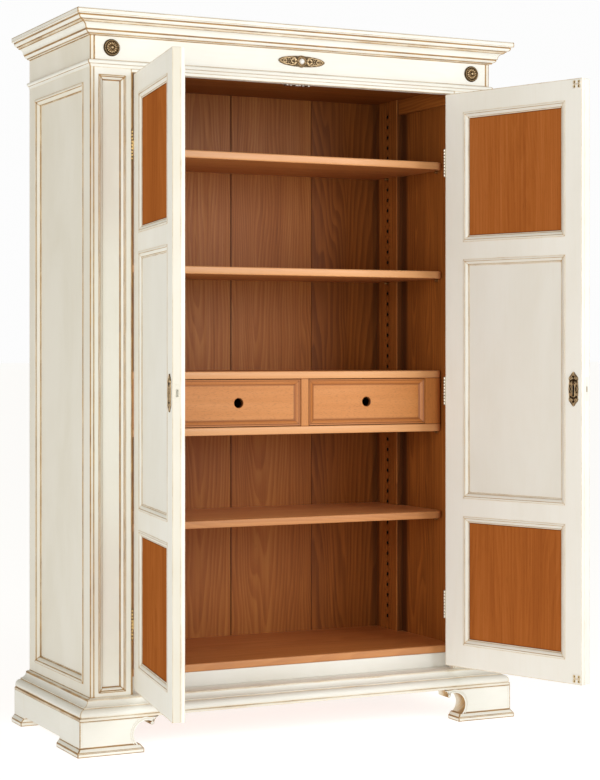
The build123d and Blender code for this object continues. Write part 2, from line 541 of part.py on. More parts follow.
# right door, with a mortised lock
frame, panels, rings, plates, leaves, p_out, p_in, bx = door_parts(1)
case_l0, case_l1 = DOOR_W - 44, DOOR_W - 2.5
mortise = bx(case_l0, DOOR_W + 1, DOOR_FACE + 5, DOOR_FACE + 19, LOCK_Z - 32, LOCK_Z + 32)
frame[1] = frame[1] - mortise
bolt_l0, bolt_l1 = DOOR_W - 34, DOOR_W - 0.3
by0, by1 = DOOR_FACE + 10.0, DOOR_FACE + 14.0
channel = bx(bolt_l0 - 1, DOOR_W + 1, by0 - 0.4, by1 + 0.4, LOCK_Z - 7.4, LOCK_Z + 7.4)
case = bx(case_l0, case_l1, DOOR_FACE + 5, DOOR_FACE + 19, LOCK_Z - 32, LOCK_Z + 32) - channel
faceplate = bx(DOOR_W - 2.5, DOOR_W, DOOR_FACE + 5, DOOR_FACE + 19, LOCK_Z - 32, LOCK_Z + 32) - channel
bolt = bx(bolt_l0, bolt_l1, by0, by1, LOCK_Z - 7, LOCK_Z + 7)
A = RIGHT_OPEN
save("right_door_frame", swing(frame, 1, A))
save("right_door_wood_panels", swing([panels[0], panels[2]], 1, A))
save("right_door_middle_panel", swing(panels[1], 1, A))
save("right_door_mouldings", swing(rings, 1, A))
save("right_door_plates", swing(plates, 1, A))
save("right_door_hinge_leaves", swing(leaves, 1, A))
save("right_door_escutcheons", swing([p_out, p_in], 1, A))
save("lock_case", swing([case + faceplate], 1, A))
save("lock_bolt", swing(bolt, 1, A))

# frame side of the hinges: leaf on the pilaster edge, end knuckles, fixed pin
fixed, hpins = [], []
for s, zs in ((-1, HINGE_Z_LEFT), (1, HINGE_Z_RIGHT)):
    for zc in zs:
        za, zb = zc - HINGE_H / 2, zc + HINGE_H / 2
        leaf = box(*sorted((s * (PILASTER_IN - 1.9), s * PILASTER_IN)), 9.6, 27.0, za, zb)
        for k0, k1 in ((za, zc - 13.4), (zc + 13.4, zb)):
            leaf = leaf + box(*sorted((s * (PILASTER_IN - 1.9), s * (PILASTER_IN - 0.4))), HINGE_Y, 11.0, k0, k1)
            leaf = leaf + cyl(s * HINGE_X, HINGE_Y, k0, KNUCKLE_R, k1 - k0)
        leaf = leaf - cyl(s * HINGE_X, HINGE_Y, za - 1, PIN_R, HINGE_H + 2)
        fixed.append(leaf)
        pin = cyl(s * HINGE_X, HINGE_Y, za, PIN_R, HINGE_H) \
            + cyl(s * HINGE_X, HINGE_Y, zb, 3.2, 2.6) + cyl(s * HINGE_X, HINGE_Y, za - 2.6, 3.2, 2.6)
        hpins.append(pin)
save("hinge_leaves_frame", fixed)
save("hinge_pins", hpins)
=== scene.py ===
import math
import random

import bmesh
import bpy
from mathutils import Matrix, Vector

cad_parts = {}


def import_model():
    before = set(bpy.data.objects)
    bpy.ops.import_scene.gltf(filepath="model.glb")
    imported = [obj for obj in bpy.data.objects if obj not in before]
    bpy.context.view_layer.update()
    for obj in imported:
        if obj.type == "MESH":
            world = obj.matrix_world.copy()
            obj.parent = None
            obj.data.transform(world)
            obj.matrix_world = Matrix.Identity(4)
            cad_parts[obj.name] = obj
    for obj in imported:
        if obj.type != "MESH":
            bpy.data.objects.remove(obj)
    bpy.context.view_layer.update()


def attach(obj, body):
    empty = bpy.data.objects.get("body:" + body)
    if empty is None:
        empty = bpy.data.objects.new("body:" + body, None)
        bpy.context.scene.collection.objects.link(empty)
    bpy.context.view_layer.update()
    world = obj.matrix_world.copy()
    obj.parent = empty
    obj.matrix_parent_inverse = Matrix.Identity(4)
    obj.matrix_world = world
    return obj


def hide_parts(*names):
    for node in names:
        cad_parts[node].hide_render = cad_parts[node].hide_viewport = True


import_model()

random.seed(7)

# --------------------------------------------------------------- dimensions
# millimetres; y is measured from the pilaster front, z from the floor
YF = -14.0
H = 1950.0
HW = 612.0
DEPTH = 510.0
PIL_IN, PIL_OUT, PIL_T = 496.0, 600.8, 28.0
LIP = 11.2
Z_PT, Z_PB = 144.0, 92.0
Z_AB, Z_AT = 1806.0, 1824.0
Z_CB = 1889.0
Z_TOPB = 1934.0
Z_OPEN = 1796.0
WALL, LIN = 522.0, 12.0
BACK, PLANK = 488.0, 18.0
FLOOR0, FLOOR1 = 184.0, 205.5
CEIL0, CEIL1 = 1822.0, 1838.0
XI = 590.0
HOLE0, PITCH = 563.8, 31.9
EDGE = 520.5
POST0, POST1, ROW_Y = 355.0, 466.0, 413.0
SH_Y, SH_T, SH_R = 97.5, 21.3, 30.0
D_E, D_W, D_Y, D_T = 487.7, 486.2, 8.0, 32.0
D_Z0, D_Z1 = 157.0, 1792.0
ST_H, ST_L = 67.0, 59.0
FIELDS = ((1368.0, 1735.0), (639.0, 1317.0), (222.0, 587.0))
HX, HY = 492.0, 5.0
PHI = {-1: 100.0, 1: 108.8}
HZ = {-1: (1604.0, 330.0), 1: (1596.0, 943.0, 332.0)}
LOCK_Z = 954.0
UB, UT = (823.0, 845.0), (979.0, 1000.3)
UR = 36.0
DIV = (53.0, 77.0)
DRAWERS = {"left": (-324.5, 51.5), "right": (78.5, 454.5)}
DZ = (846.6, 977.4)


def world(p):
    return Vector((p[0] * 0.001, (p[1] + YF) * 0.001, p[2] * 0.001))


def swung(s):
    """closed door coordinates -> stored, open position"""
    a = math.radians(PHI[s]) * s
    ca, sa = math.cos(a), math.sin(a)

    def f(p):
        dx, dy = p[0] - s * HX, p[1] - HY
        return world((s * HX + dx * ca - dy * sa, HY + dx * sa + dy * ca, p[2]))
    return f


# ---------------------------------------------------------------- materials
def new_mat(name):
    m = bpy.data.materials.new(name)
    m.use_nodes = True
    nt = m.node_tree
    bsdf = next(n for n in nt.nodes if n.type == "BSDF_PRINCIPLED")
    return m, nt, bsdf


class G:
    """small helper that wires shader nodes"""

    def __init__(self, nt):
        self.nt = nt

    def put(self, sock, v):
        if isinstance(v, bpy.types.NodeSocket):
            self.nt.links.new(v, sock)
        elif v is not None:
            sock.default_value = v

    def attr(self, name):
        n = self.nt.nodes.new("ShaderNodeAttribute")
        n.attribute_name = name
        return n

    def math(self, op, a, b=None, c=None, clamp=False):
        n = self.nt.nodes.new("ShaderNodeMath")
        n.operation = op
        n.use_clamp = clamp
        self.put(n.inputs[0], a)
        if b is not None:
            self.put(n.inputs[1], b)
        if c is not None:
            self.put(n.inputs[2], c)
        return n.outputs[0]

    def vmul(self, v, k):
        n = self.nt.nodes.new("ShaderNodeVectorMath")
        n.operation = "MULTIPLY"
        self.put(n.inputs[0], v)
        n.inputs[1].default_value = k
        return n.outputs[0]

    def noise(self, vec, scale=1.0, detail=3.0, rough=0.55, dist=0.0):
        n = self.nt.nodes.new("ShaderNodeTexNoise")
        self.put(n.inputs["Vector"], vec)
        n.inputs["Scale"].default_value = scale
        n.inputs["Detail"].default_value = detail
        n.inputs["Roughness"].default_value = rough
        n.inputs["Distortion"].default_value = dist
        return n.outputs["Fac"]

    def remap(self, v, a, b, c=0.0, d=1.0, smooth=True):
        n = self.nt.nodes.new("ShaderNodeMapRange")
        n.interpolation_type = "SMOOTHSTEP" if smooth else "LINEAR"
        self.put(n.inputs[0], v)
        for i, q in enumerate((a, b, c, d)):
            self.put(n.inputs[1 + i], q)
        return n.outputs[0]

    def mix(self, fac, a, b, blend="MIX"):
        n = self.nt.nodes.new("ShaderNodeMix")
        n.data_type = "RGBA"
        n.blend_type = blend
        self.put(n.inputs[0], fac)
        self.put(n.inputs[6], a)
        self.put(n.inputs[7], b)
        return n.outputs[2]

    def ramp(self, fac, stops):
        n = self.nt.nodes.new("ShaderNodeValToRGB")
        e = n.color_ramp.elements
        while len(e) < len(stops):
            e.new(0.5)
        for q, (p, c) in zip(e, stops):
            q.position = p
            q.color = c
        self.put(n.inputs[0], fac)
        return n.outputs[0]

    def sep(self, v):
        n = self.nt.nodes.new("ShaderNodeSeparateXYZ")
        self.put(n.inputs[0], v)
        return n.outputs

    def comb(self, x, y, z):
        n = self.nt.nodes.new("ShaderNodeCombineXYZ")
        for i, q in enumerate((x, y, z)):
            self.put(n.inputs[i], q)
        return n.outputs[0]

    def bump(self, height, strength, dist):
        n = self.nt.nodes.new("ShaderNodeBump")
        n.inputs["Strength"].default_value = strength
        n.inputs["Distance"].default_value = dist
        self.put(n.inputs["Height"], height)
        return n.outputs["Normal"]


def srgb(h, a=1.0):
    h = h.lstrip("#")
    out = []
    for i in (0, 2, 4):
        c = int(h[i:i + 2], 16) / 255
        out.append(c / 12.92 if c <= 0.04045 else ((c + 0.055) / 1.055) ** 2.4)
    return (*out, a)


def paint(name, base, base2, glaze_and_shade=1.0, patina=1.0):
    """antiqued cream paint: brown glaze held in quirks and rubbed through on arrises"""
    m, nt, b = new_mat(name)
    g = G(nt)
    co = g.attr("gco").outputs["Vector"]
    gl = g.attr("glaze_and_shade").outputs["Fac"]
    # soft clouding of the paint
    cloud = g.noise(g.vmul(co, (2.2, 5.0, 1.0)), 1.0, 4.0, 0.6, 0.4)
    brush = g.noise(g.vmul(co, (7.0, 120.0, 1.0)), 1.0, 2.0, 0.5)
    col = g.mix(g.remap(cloud, 0.32, 0.72), base, base2)
    col = g.mix(g.math("MULTIPLY", g.remap(brush, 0.45, 0.8), 0.05 * patina), col, srgb("#D9CBA8"))
    # glaze: streaky along the moulding, broken by a finer noise
    streak = g.noise(g.vmul(co, (16.0, 330.0, 1.0)), 1.0, 4.0, 0.65)
    patch = g.noise(g.vmul(co, (9.0, 24.0, 1.0)), 1.0, 3.0, 0.6)
    fine = g.noise(g.vmul(co, (190.0, 420.0, 1.0)), 1.0, 2.0, 0.6)
    drive = g.math("ADD", g.math("MULTIPLY", streak, 0.60), g.math("MULTIPLY", patch, 0.75))
    drive = g.math("ADD", drive, g.math("MULTIPLY", fine, 0.30))
    level = g.math("ADD", g.math("MULTIPLY", gl, 1.25), g.math("SUBTRACT", drive, 1.05))
    mask = g.math("MULTIPLY", g.remap(level, 0.20, 0.80), glaze_and_shade, clamp=True)
    halo = g.math("MULTIPLY", g.remap(g.math("ADD", gl, g.math("MULTIPLY", g.math("SUBTRACT", patch, 0.5), 0.5)), 0.02, 0.75), 0.50 * glaze_and_shade, clamp=True)
    col = g.mix(halo, col, srgb("#DCBB7B"))
    brown = g.mix(g.remap(g.noise(g.vmul(co, (26.0, 130.0, 1.0)), 1.0, 2.0), 0.35, 0.70), srgb("#A97B33"), srgb("#7A5122"))
    col = g.mix(g.math("MULTIPLY", mask, 0.88), col, brown)
    dark = g.remap(g.math("ADD", gl, g.math("MULTIPLY", g.math("SUBTRACT", patch, 0.5), 0.8)), 1.12, 1.6)
    col = g.mix(g.math("MULTIPLY", dark, 0.85), col, srgb("#463019"))
    # sparse fly specks
    spk = g.nt.nodes.new("ShaderNodeTexVoronoi")
    spk.feature = "F1"
    g.put(spk.inputs["Vector"], co)
    spk.inputs["Scale"].default_value = 46.0
    dots = g.math("MULTIPLY", g.remap(spk.outputs["Distance"], 0.035, 0.02), g.remap(g.noise(co, 9.0, 1.0), 0.60, 0.66))
    col = g.mix(g.math("MULTIPLY", dots, 0.3 * patina), col, srgb("#8C6A44"))
    g.put(b.inputs["Base Color"], col)
    g.put(b.inputs["Roughness"], g.remap(mask, 0.0, 1.0, 0.42, 0.62, smooth=False))
    b.inputs["Specular IOR Level"].default_value = 0.4
    hgt = g.math("ADD", g.math("MULTIPLY", brush, 0.4), g.math("MULTIPLY", mask, -0.8))
    g.put(b.inputs["Normal"], g.bump(hgt, 0.2, 0.0005))
    return m


def wood(name, dark, mid, light, rough=0.42, rings=110.0, tilt=0.05, pores=0.22, edge=None, cath=1.0, spec=0.45, fine=0.0, contrast=1.0, sk=80.0):
    """stained veneer: growth rings cut by the board, fibre and pores, a tone for each board, set darker on some boards
    as painted shade and lighter on a post's corner as a painted highlight
    """
    m, nt, b = new_mat(name)
    g = G(nt)
    co = g.attr("gco").outputs["Vector"]
    tone = g.attr("tone").outputs["Fac"]
    x, y, z = g.sep(co)
    wob = g.noise(g.comb(g.math("MULTIPLY", x, 1.4), g.math("MULTIPLY", y, 8.0), z), 1.0, 2.0, 0.5)
    wob2 = g.noise(g.comb(g.math("MULTIPLY", x, 4.0), g.math("MULTIPLY", y, 30.0), z), 1.0, 2.0, 0.5)
    # distance from the heart of the tree, which runs slightly out of the board
    yy = g.math("ADD", g.math("SUBTRACT", g.math("MODULO", g.math("ADD", y, 10.0), 0.27), 0.135),
                g.math("MULTIPLY", g.math("SUBTRACT", wob, 0.5), 0.10))
    zz = g.math("ADD", g.math("ADD", 0.03, g.math("MULTIPLY", x, tilt)), g.math("MULTIPLY", g.math("SUBTRACT", wob, 0.5), 0.05))
    r = g.math("SQRT", g.math("ADD", g.math("MULTIPLY", yy, yy), g.math("MULTIPLY", zz, zz)))
    ph = g.math("ADD", g.math("MULTIPLY", r, rings), g.math("MULTIPLY", wob2, 0.9))
    saw = g.math("FRACT", ph)
    ring = g.math("MULTIPLY", g.remap(saw, 0.0, 0.80), g.remap(saw, 1.0, 0.84))
    streak = g.noise(g.vmul(co, (2.6, sk, 1.0)), 1.0, 4.0, 0.6)
    broad = g.noise(g.vmul(co, (0.9, 10.0, 1.0)), 1.0, 3.0, 0.55)
    fibre = g.noise(g.vmul(co, (24.0, 760.0, 1.0)), 1.0, 2.0, 0.6)
    v = g.math("ADD", g.math("MULTIPLY", ring, 0.22 * cath), g.math("MULTIPLY", streak, 0.42 * contrast))
    v = g.math("ADD", v, g.math("MULTIPLY", broad, 0.38 * contrast))
    v = g.math("ADD", v, g.math("MULTIPLY", g.math("SUBTRACT", tone, 0.5), 0.45))
    base_v = 0.40 * contrast + 0.06 * cath
    v = g.remap(v, base_v - 0.34, base_v + 0.34, 0.0, 1.0, smooth=False)
    col = g.ramp(v, [(0.0, light), (0.5, mid), (1.0, dark)])
    pore = g.remap(fibre, 0.60, 0.76)
    col = g.mix(g.math("MULTIPLY", pore, pores), col, tuple(c * 0.45 for c in dark[:3]) + (1.0,))
    if fine:
        # short dashes of ray fleck
        dash = g.noise(g.vmul(co, (120.0, 520.0, 1.0)), 1.0, 2.0, 0.5)
        col = g.mix(g.math("MULTIPLY", g.remap(dash, 0.52, 0.70), fine), col, tuple(c * 0.55 for c in dark[:3]) + (1.0,))
    if edge is not None:
        gl = g.attr("glaze_and_shade").outputs["Fac"]
        col = g.mix(g.math("MULTIPLY", g.remap(gl, 0.1, 0.95), edge[1]), col, edge[0])
    g.put(b.inputs["Base Color"], col)
    g.put(b.inputs["Roughness"], g.remap(streak, 0.2, 0.8, rough - 0.04, rough + 0.06, smooth=False))
    b.inputs["Specular IOR Level"].default_value = spec
    hgt = g.math("SUBTRACT", g.math("MULTIPLY", streak, 0.3), g.math("MULTIPLY", pore, 0.6))
    g.put(b.inputs["Normal"], g.bump(hgt, 0.25, 0.0004))
    return m


def metal(name, low, high, rough, metallic=1.0, scale=160.0):
    """aged metal: dark in the hollows (attribute value 1), bright on the high spots"""
    m, nt, b = new_mat(name)
    g = G(nt)
    gl = g.attr("glaze_and_shade").outputs["Fac"]
    tc = nt.nodes.new("ShaderNodeTexCoord").outputs["Object"]
    n1 = g.noise(tc, scale, 4.0, 0.6)
    n2 = g.noise(tc, scale * 6, 3.0, 0.6)
    f = g.math("ADD", gl, g.math("MULTIPLY", g.math("SUBTRACT", n1, 0.5), 0.7))
    col = g.ramp(f, [(0.0, high), (0.45, tuple((a + c) / 2 for a, c in zip(low, high))), (1.0, low)])
    g.put(b.inputs["Base Color"], col)
    b.inputs["Metallic"].default_value = metallic
    g.put(b.inputs["Roughness"], g.remap(g.math("ADD", f, g.math("MULTIPLY", n2, 0.2)), 0.0, 1.1, rough, min(1.0, rough + 0.35), smooth=False))
    g.put(b.inputs["Normal"], g.bump(n2, 0.2, 0.0002))
    return m


CREAM = paint("paint_cream", srgb("#EEECE2"), srgb("#E8E5D9"))
# darker copy of the cream for the side frames: painted shade on the sides
CREAM_SIDE_SHADED = paint("paint_cream_side_shaded", srgb("#E9E4D6"), srgb("#E2DCCB"), glaze_and_shade=1.1)
# lighter copy of the cream for the door frames: painted light on the doors
CREAM_DOOR_LIT = paint("paint_cream_door_lit", srgb("#F4F2E9"), srgb("#EFECE1"))
# darker copy of the cream for the left door's leading edge and the strike: painted shade
CREAM_EDGE_SHADED = paint("paint_cream_edge_shaded", srgb("#E0DACB"), srgb("#D9D2C0"))
CREAM_PLAIN = paint("paint_cream_plain", srgb("#EFEDE4"), srgb("#EAE7DC"), glaze_and_shade=0.75, patina=0.8)
# its dark edge colour draws the plank joints and also paints shade into the corners, beside the posts and in the pin
# holes
WOOD_BACK = wood("wood_back", srgb("#80471A"), srgb("#A86328"), srgb("#C07E3A"), rough=0.45, cath=0.9, spec=0.26, contrast=1.3, pores=0.34, edge=(srgb("#32140A"), 0.8))
WOOD_SHELF = wood("wood_shelf", srgb("#995325"), srgb("#BD753C"), srgb("#D69253"), rough=0.42, cath=0.6, edge=(srgb("#E8B37C"), 0.25))
WOOD_DRAWER = wood("wood_drawer", srgb("#B26932"), srgb("#CF8746"), srgb("#E39F5E"), rough=0.45, cath=0.0, edge=(srgb("#64300F"), 0.8), fine=0.3, contrast=0.7)
WOOD_DOOR = wood("wood_door", srgb("#84431C"), srgb("#A8602B"), srgb("#BE7540"), rough=0.6, pores=0.42, cath=0.3, contrast=1.15, sk=150.0, edge=(srgb("#4A240E"), 0.75), spec=0.0)
WOOD_RAW = wood("wood_raw", srgb("#8E6A45"), srgb("#B08A60"), srgb("#CDAA80"), rough=0.6, pores=0.15)
BRONZE = metal("bronze_aged", srgb("#2E2014"), srgb("#CBB088"), 0.32)
BRASS = metal("brass_satin", srgb("#2A1E10"), srgb("#C6A56E"), 0.30)
STEEL = metal("steel_satin", srgb("#55524E"), srgb("#C9C6C0"), 0.30)


def plain(name, col, rough, spec=0.5, metallic=0.0, coat=0.0):
    m, nt, b = new_mat(name)
    g = G(nt)
    tc = nt.nodes.new("ShaderNodeTexCoord").outputs["Object"]
    n = g.noise(tc, 220.0, 3.0)
    g.put(b.inputs["Base Color"], g.mix(g.math("MULTIPLY", n, 0.35), col, tuple(c * 0.75 for c in col[:3]) + (1.0,)))
    b.inputs["Roughness"].default_value = rough
    b.inputs["Specular IOR Level"].default_value = spec
    b.inputs["Metallic"].default_value = metallic
    b.inputs["Coat Weight"].default_value = coat
    return m


# near-black painted shade: set in the shelf-pin holes and behind the key slots, where there is only shadow
SHADE_BLACK = plain("painted_shade_black", srgb("#120A06"), 0.9, 0.2)
PEARL = plain("cabochon_pearl", srgb("#EDEAE2"), 0.18, 0.6, 0.0, 0.6)


# ------------------------------------------------------------- mesh building
class Piece:
    def __init__(self, name):
        self.name = name
        self.v, self.f, self.g, self.c, self.t, self.m = [], [], [], [], [], []

    def add(self, verts, faces, glaze_and_shade=None, gco=None, tone=0.5, mat=0):
        o = len(self.v)
        self.v += [tuple(q) for q in verts]
        self.g += list(glaze_and_shade) if glaze_and_shade is not None else [0.0] * len(verts)
        self.c += list(gco) if gco is not None else [(q[2] * 0.001, q[0] * 0.001, 0.0) for q in verts]
        self.t += [tone] * len(verts)
        for f in faces:
            self.f.append(tuple(i + o for i in f))
            self.m.append(mat)
        return self

    def build(self, body, mats, nodes=(), slot=None, xf=world, angle=32.0, gk=1.0):
        self.g = [q * gk for q in self.g]
        seen, idx, keep = {}, [], []
        for i, (q, c, g_, t_) in enumerate(zip(self.v, self.c, self.g, self.t)):
            key = tuple(round(a * 500) for a in q) + tuple(round(a * 20000) for a in c) + (round(g_ * 200), round(t_ * 200))
            if key not in seen:
                seen[key] = len(keep)
                keep.append(i)
            idx.append(seen[key])
        faces, mats_i = [], []
        for f, m_ in zip(self.f, self.m):
            q = []
            for i in f:
                if not q or idx[i] != q[-1]:
                    q.append(idx[i])
            if len(q) > 1 and q[0] == q[-1]:
                q.pop()
            if len(q) > 2 and len(set(q)) == len(q):
                faces.append(tuple(q))
                mats_i.append(m_)
        self.v, self.g, self.t, self.c = ([a[i] for i in keep] for a in (self.v, self.g, self.t, self.c))
        self.f, self.m = faces, mats_i
        me = bpy.data.meshes.new(self.name)
        me.from_pydata([tuple(xf(p)) for p in self.v], [], self.f)
        a = me.attributes.new("glaze_and_shade", "FLOAT", "POINT")
        a.data.foreach_set("value", self.g)
        a = me.attributes.new("tone", "FLOAT", "POINT")
        a.data.foreach_set("value", self.t)
        a = me.attributes.new("gco", "FLOAT_VECTOR", "POINT")
        a.data.foreach_set("vector", [q for c in self.c for q in c])
        for m in mats:
            me.materials.append(m)
        me.polygons.foreach_set("material_index", self.m)
        me.update()
        bm = bmesh.new()
        bm.from_mesh(me)
        bmesh.ops.recalc_face_normals(bm, faces=bm.faces)
        bm.to_mesh(me)
        bm.free()
        me.polygons.foreach_set("use_smooth", [True] * len(me.polygons))
        me.set_sharp_from_angle(angle=math.radians(angle))
        ob = bpy.data.objects.new(self.name, me)
        bpy.context.scene.collection.objects.link(ob)
        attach(ob, body)
        if nodes:
            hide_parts(*nodes)
        return ob


def seed():
    return random.uniform(-40.0, 40.0)


def gco_for(grain, s=None, off=None):
    """maps a point in mm to (along the grain, across it, seed) in metres"""
    k = seed() if s is None else s
    ox, oy = (random.uniform(-3, 3), random.uniform(-3, 3)) if off is None else off
    if grain == "x":
        return lambda p: (p[0] * 0.001 + ox, (p[1] * 1.0 + p[2]) * 0.001 + oy, k)
    if grain == "y":
        return lambda p: (p[1] * 0.001 + ox, (p[0] + p[2]) * 0.001 + oy, k)
    return lambda p: (p[2] * 0.001 + ox, (p[0] + p[1]) * 0.001 + oy, k)


def dump(bm, layer, piece, gco, tone, mat, glaze_scale=1.0, place=None):
    bm.verts.index_update()
    vs = [tuple(place(v.co)) if place else tuple(v.co) for v in bm.verts]
    gl = [v[layer] * glaze_scale for v in bm.verts]
    fs = [tuple(v.index for v in f.verts) for f in bm.faces]
    piece.add(vs, fs, gl, [gco(p) for p in vs], tone, mat)


def block(piece, x0, x1, y0, y1, z0, z1, r=1.0, inset=4.0, grain="z", tone=None, mat=0, glaze_and_shade=1.0, seg=2, place=None, gco=None):
    """board with eased arrises; the attribute that carries glaze and painted shade is 1 on the arrises and fades
    inwards
    """
    x0, x1 = sorted((x0, x1))
    bm = bmesh.new()
    lay = bm.verts.layers.float.new("glaze_and_shade")
    bmesh.ops.create_cube(bm, size=1.0)
    for v in bm.verts:
        v.co = Vector(((x0 + x1) / 2 + v.co.x * (x1 - x0), (y0 + y1) / 2 + v.co.y * (y1 - y0), (z0 + z1) / 2 + v.co.z * (z1 - z0)))
    if r > 0:
        bmesh.ops.bevel(bm, geom=bm.edges[:], offset=r, segments=seg, profile=0.5, affect="EDGES", clamp_overlap=True)
    for v in bm.verts:
        v[lay] = 1.0
    bm.normal_update()
    flats = [f for f in bm.faces if max(abs(c) for c in f.normal) > 0.99999 and len(f.verts) == 4]
    for f in flats:
        dims = sorted(e.calc_length() for e in f.edges)
        if dims[0] < 1.2:
            continue
        bmesh.ops.inset_individual(bm, faces=[f], thickness=min(inset, dims[0] * 0.3), use_even_offset=True)
        for v in f.verts:
            v[lay] = 0.0
    dump(bm, lay, piece, gco or gco_for(grain), random.uniform(0.3, 0.7) if tone is None else tone, mat, glaze_and_shade, place)
    bm.free()


def vox(piece, us, ws, ts, filled, feats, place, gco, r=1.0, bevel=None, tone=0.5, mat=0, reach=3.6, core=1.3):
    """surface of a stack of rectangular cells, with eased arrises and glaze along the feature lines (on the wood lining
    and planks these lines paint shade)
    """
    us, ws, ts = (sorted(set(round(q, 4) for q in a)) for a in (us, ws, ts))
    nu, nw, nt = len(us) - 1, len(ws) - 1, len(ts) - 1
    F = {}
    for i in range(nu):
        for j in range(nw):
            for k in range(nt):
                F[i, j, k] = bool(filled((us[i] + us[i + 1]) / 2, (ws[j] + ws[j + 1]) / 2, (ts[k] + ts[k + 1]) / 2))
    bm = bmesh.new()
    V = {}

    def vert(i, j, k):
        if (i, j, k) not in V:
            V[i, j, k] = bm.verts.new((us[i], ws[j], ts[k]))
        return V[i, j, k]
    for (i, j, k), full in F.items():
        if not full:
            continue
        for axis, d in ((0, -1), (0, 1), (1, -1), (1, 1), (2, -1), (2, 1)):
            n = [i, j, k]
            n[axis] += d
            if F.get(tuple(n), False):
                continue
            c = [i, j, k]
            if d > 0:
                c[axis] += 1
            a, b_ = [q for q in (0, 1, 2) if q != axis]
            quad = []
            for da, db in ((0, 0), (1, 0), (1, 1), (0, 1)):
                q = list(c)
                q[a] += da
                q[b_] += db
                quad.append(vert(*q))
            try:
                bm.faces.new(quad)
            except ValueError:
                pass
    bmesh.ops.recalc_face_normals(bm, faces=bm.faces)
    if r > 0:
        bm.normal_update()
        es = []
        for e in bm.edges:
            if len(e.link_faces) == 2 and abs(e.link_faces[0].normal.dot(e.link_faces[1].normal)) < 0.1 and e.is_convex:
                mid = (e.verts[0].co + e.verts[1].co) / 2
                if bevel is None or bevel(*mid):
                    es.append(e)
        if es:
            bmesh.ops.bevel(bm, geom=es, offset=r, segments=2, profile=0.5, affect="EDGES", clamp_overlap=True)
    lay = bm.verts.layers.float.new("glaze_and_shade")
    fs = [(Vector(a), Vector(b_), k) for a, b_, k in feats]
    for v in bm.verts:
        best = 0.0
        for a, b_, k in fs:
            ab = b_ - a
            t = max(0.0, min(1.0, (v.co - a).dot(ab) / max(ab.dot(ab), 1e-9)))
            d = (v.co - (a + ab * t)).length
            best = max(best, k * max(0.0, min(1.0, 1 - (d - core) / (reach - core))))
        v[lay] = best
    dump(bm, lay, piece, gco, tone, mat, 1.0, place)
    bm.free()


def rect_feats(u0, u1, w0, w1, t, k=1.0):
    return [((u0, w0, t), (u1, w0, t), k), ((u1, w0, t), (u1, w1, t), k), ((u1, w1, t), (u0, w1, t), k), ((u0, w1, t), (u0, w0, t), k)]


def near(vals, d=3.8):
    out = []
    for q in vals:
        out += [q - d, q, q + d]
    return out


def clip(vals, a, b):
    return [q for q in vals if a <= q <= b] + [a, b]


def arc(p, mid, q, n=6):
    """points on the circle through p, mid, q, without p itself"""
    ax, ay = p
    bx, by = mid
    cx, cy = q
    d = 2 * (ax * (by - cy) + bx * (cy - ay) + cx * (ay - by))
    if abs(d) < 1e-9:
        return [q]
    ux = ((ax * ax + ay * ay) * (by - cy) + (bx * bx + by * by) * (cy - ay) + (cx * cx + cy * cy) * (ay - by)) / d
    uy = ((ax * ax + ay * ay) * (cx - bx) + (bx * bx + by * by) * (ax - cx) + (cx * cx + cy * cy) * (bx - ax)) / d
    a0, a1, a2 = (math.atan2(v - uy, u - ux) for u, v in (p, mid, q))
    sweep = (a2 - a0) % (2 * math.pi)
    if not (a1 - a0) % (2 * math.pi) <= sweep:
        sweep -= 2 * math.pi
    r = math.hypot(ax - ux, ay - uy)
    return [(ux + r * math.cos(a0 + sweep * i / n), uy + r * math.sin(a0 + sweep * i / n)) for i in range(1, n + 1)]


def profile(items, near_d=2.6):
    """items: (d, h, glaze) points, or ('arc', mid, (d, h, glaze)).  Adds points beside
    each marked one, so the glaze stays a thin line."""
    pts = [items[0]]
    for q in items[1:]:
        if q[0] == "arc":
            p = pts[-1]
            ends = arc(p[:2], q[1], q[2][:2], 8)
            for e in ends[:-1]:
                pts.append((e[0], e[1], 0.0))
            pts.append(q[2])
        else:
            pts.append(q)
    out = [pts[0]]
    for a, b_ in zip(pts, pts[1:]):
        L = math.hypot(b_[0] - a[0], b_[1] - a[1])
        if L > 2.2 * near_d and (a[2] > 0 or b_[2] > 0):
            if a[2] > 0:
                t = near_d / L
                out.append((a[0] + (b_[0] - a[0]) * t, a[1] + (b_[1] - a[1]) * t, 0.0))
            if b_[2] > 0:
                t = 1 - near_d / L
                out.append((a[0] + (b_[0] - a[0]) * t, a[1] + (b_[1] - a[1]) * t, 0.0))
        out.append(b_)
    return out


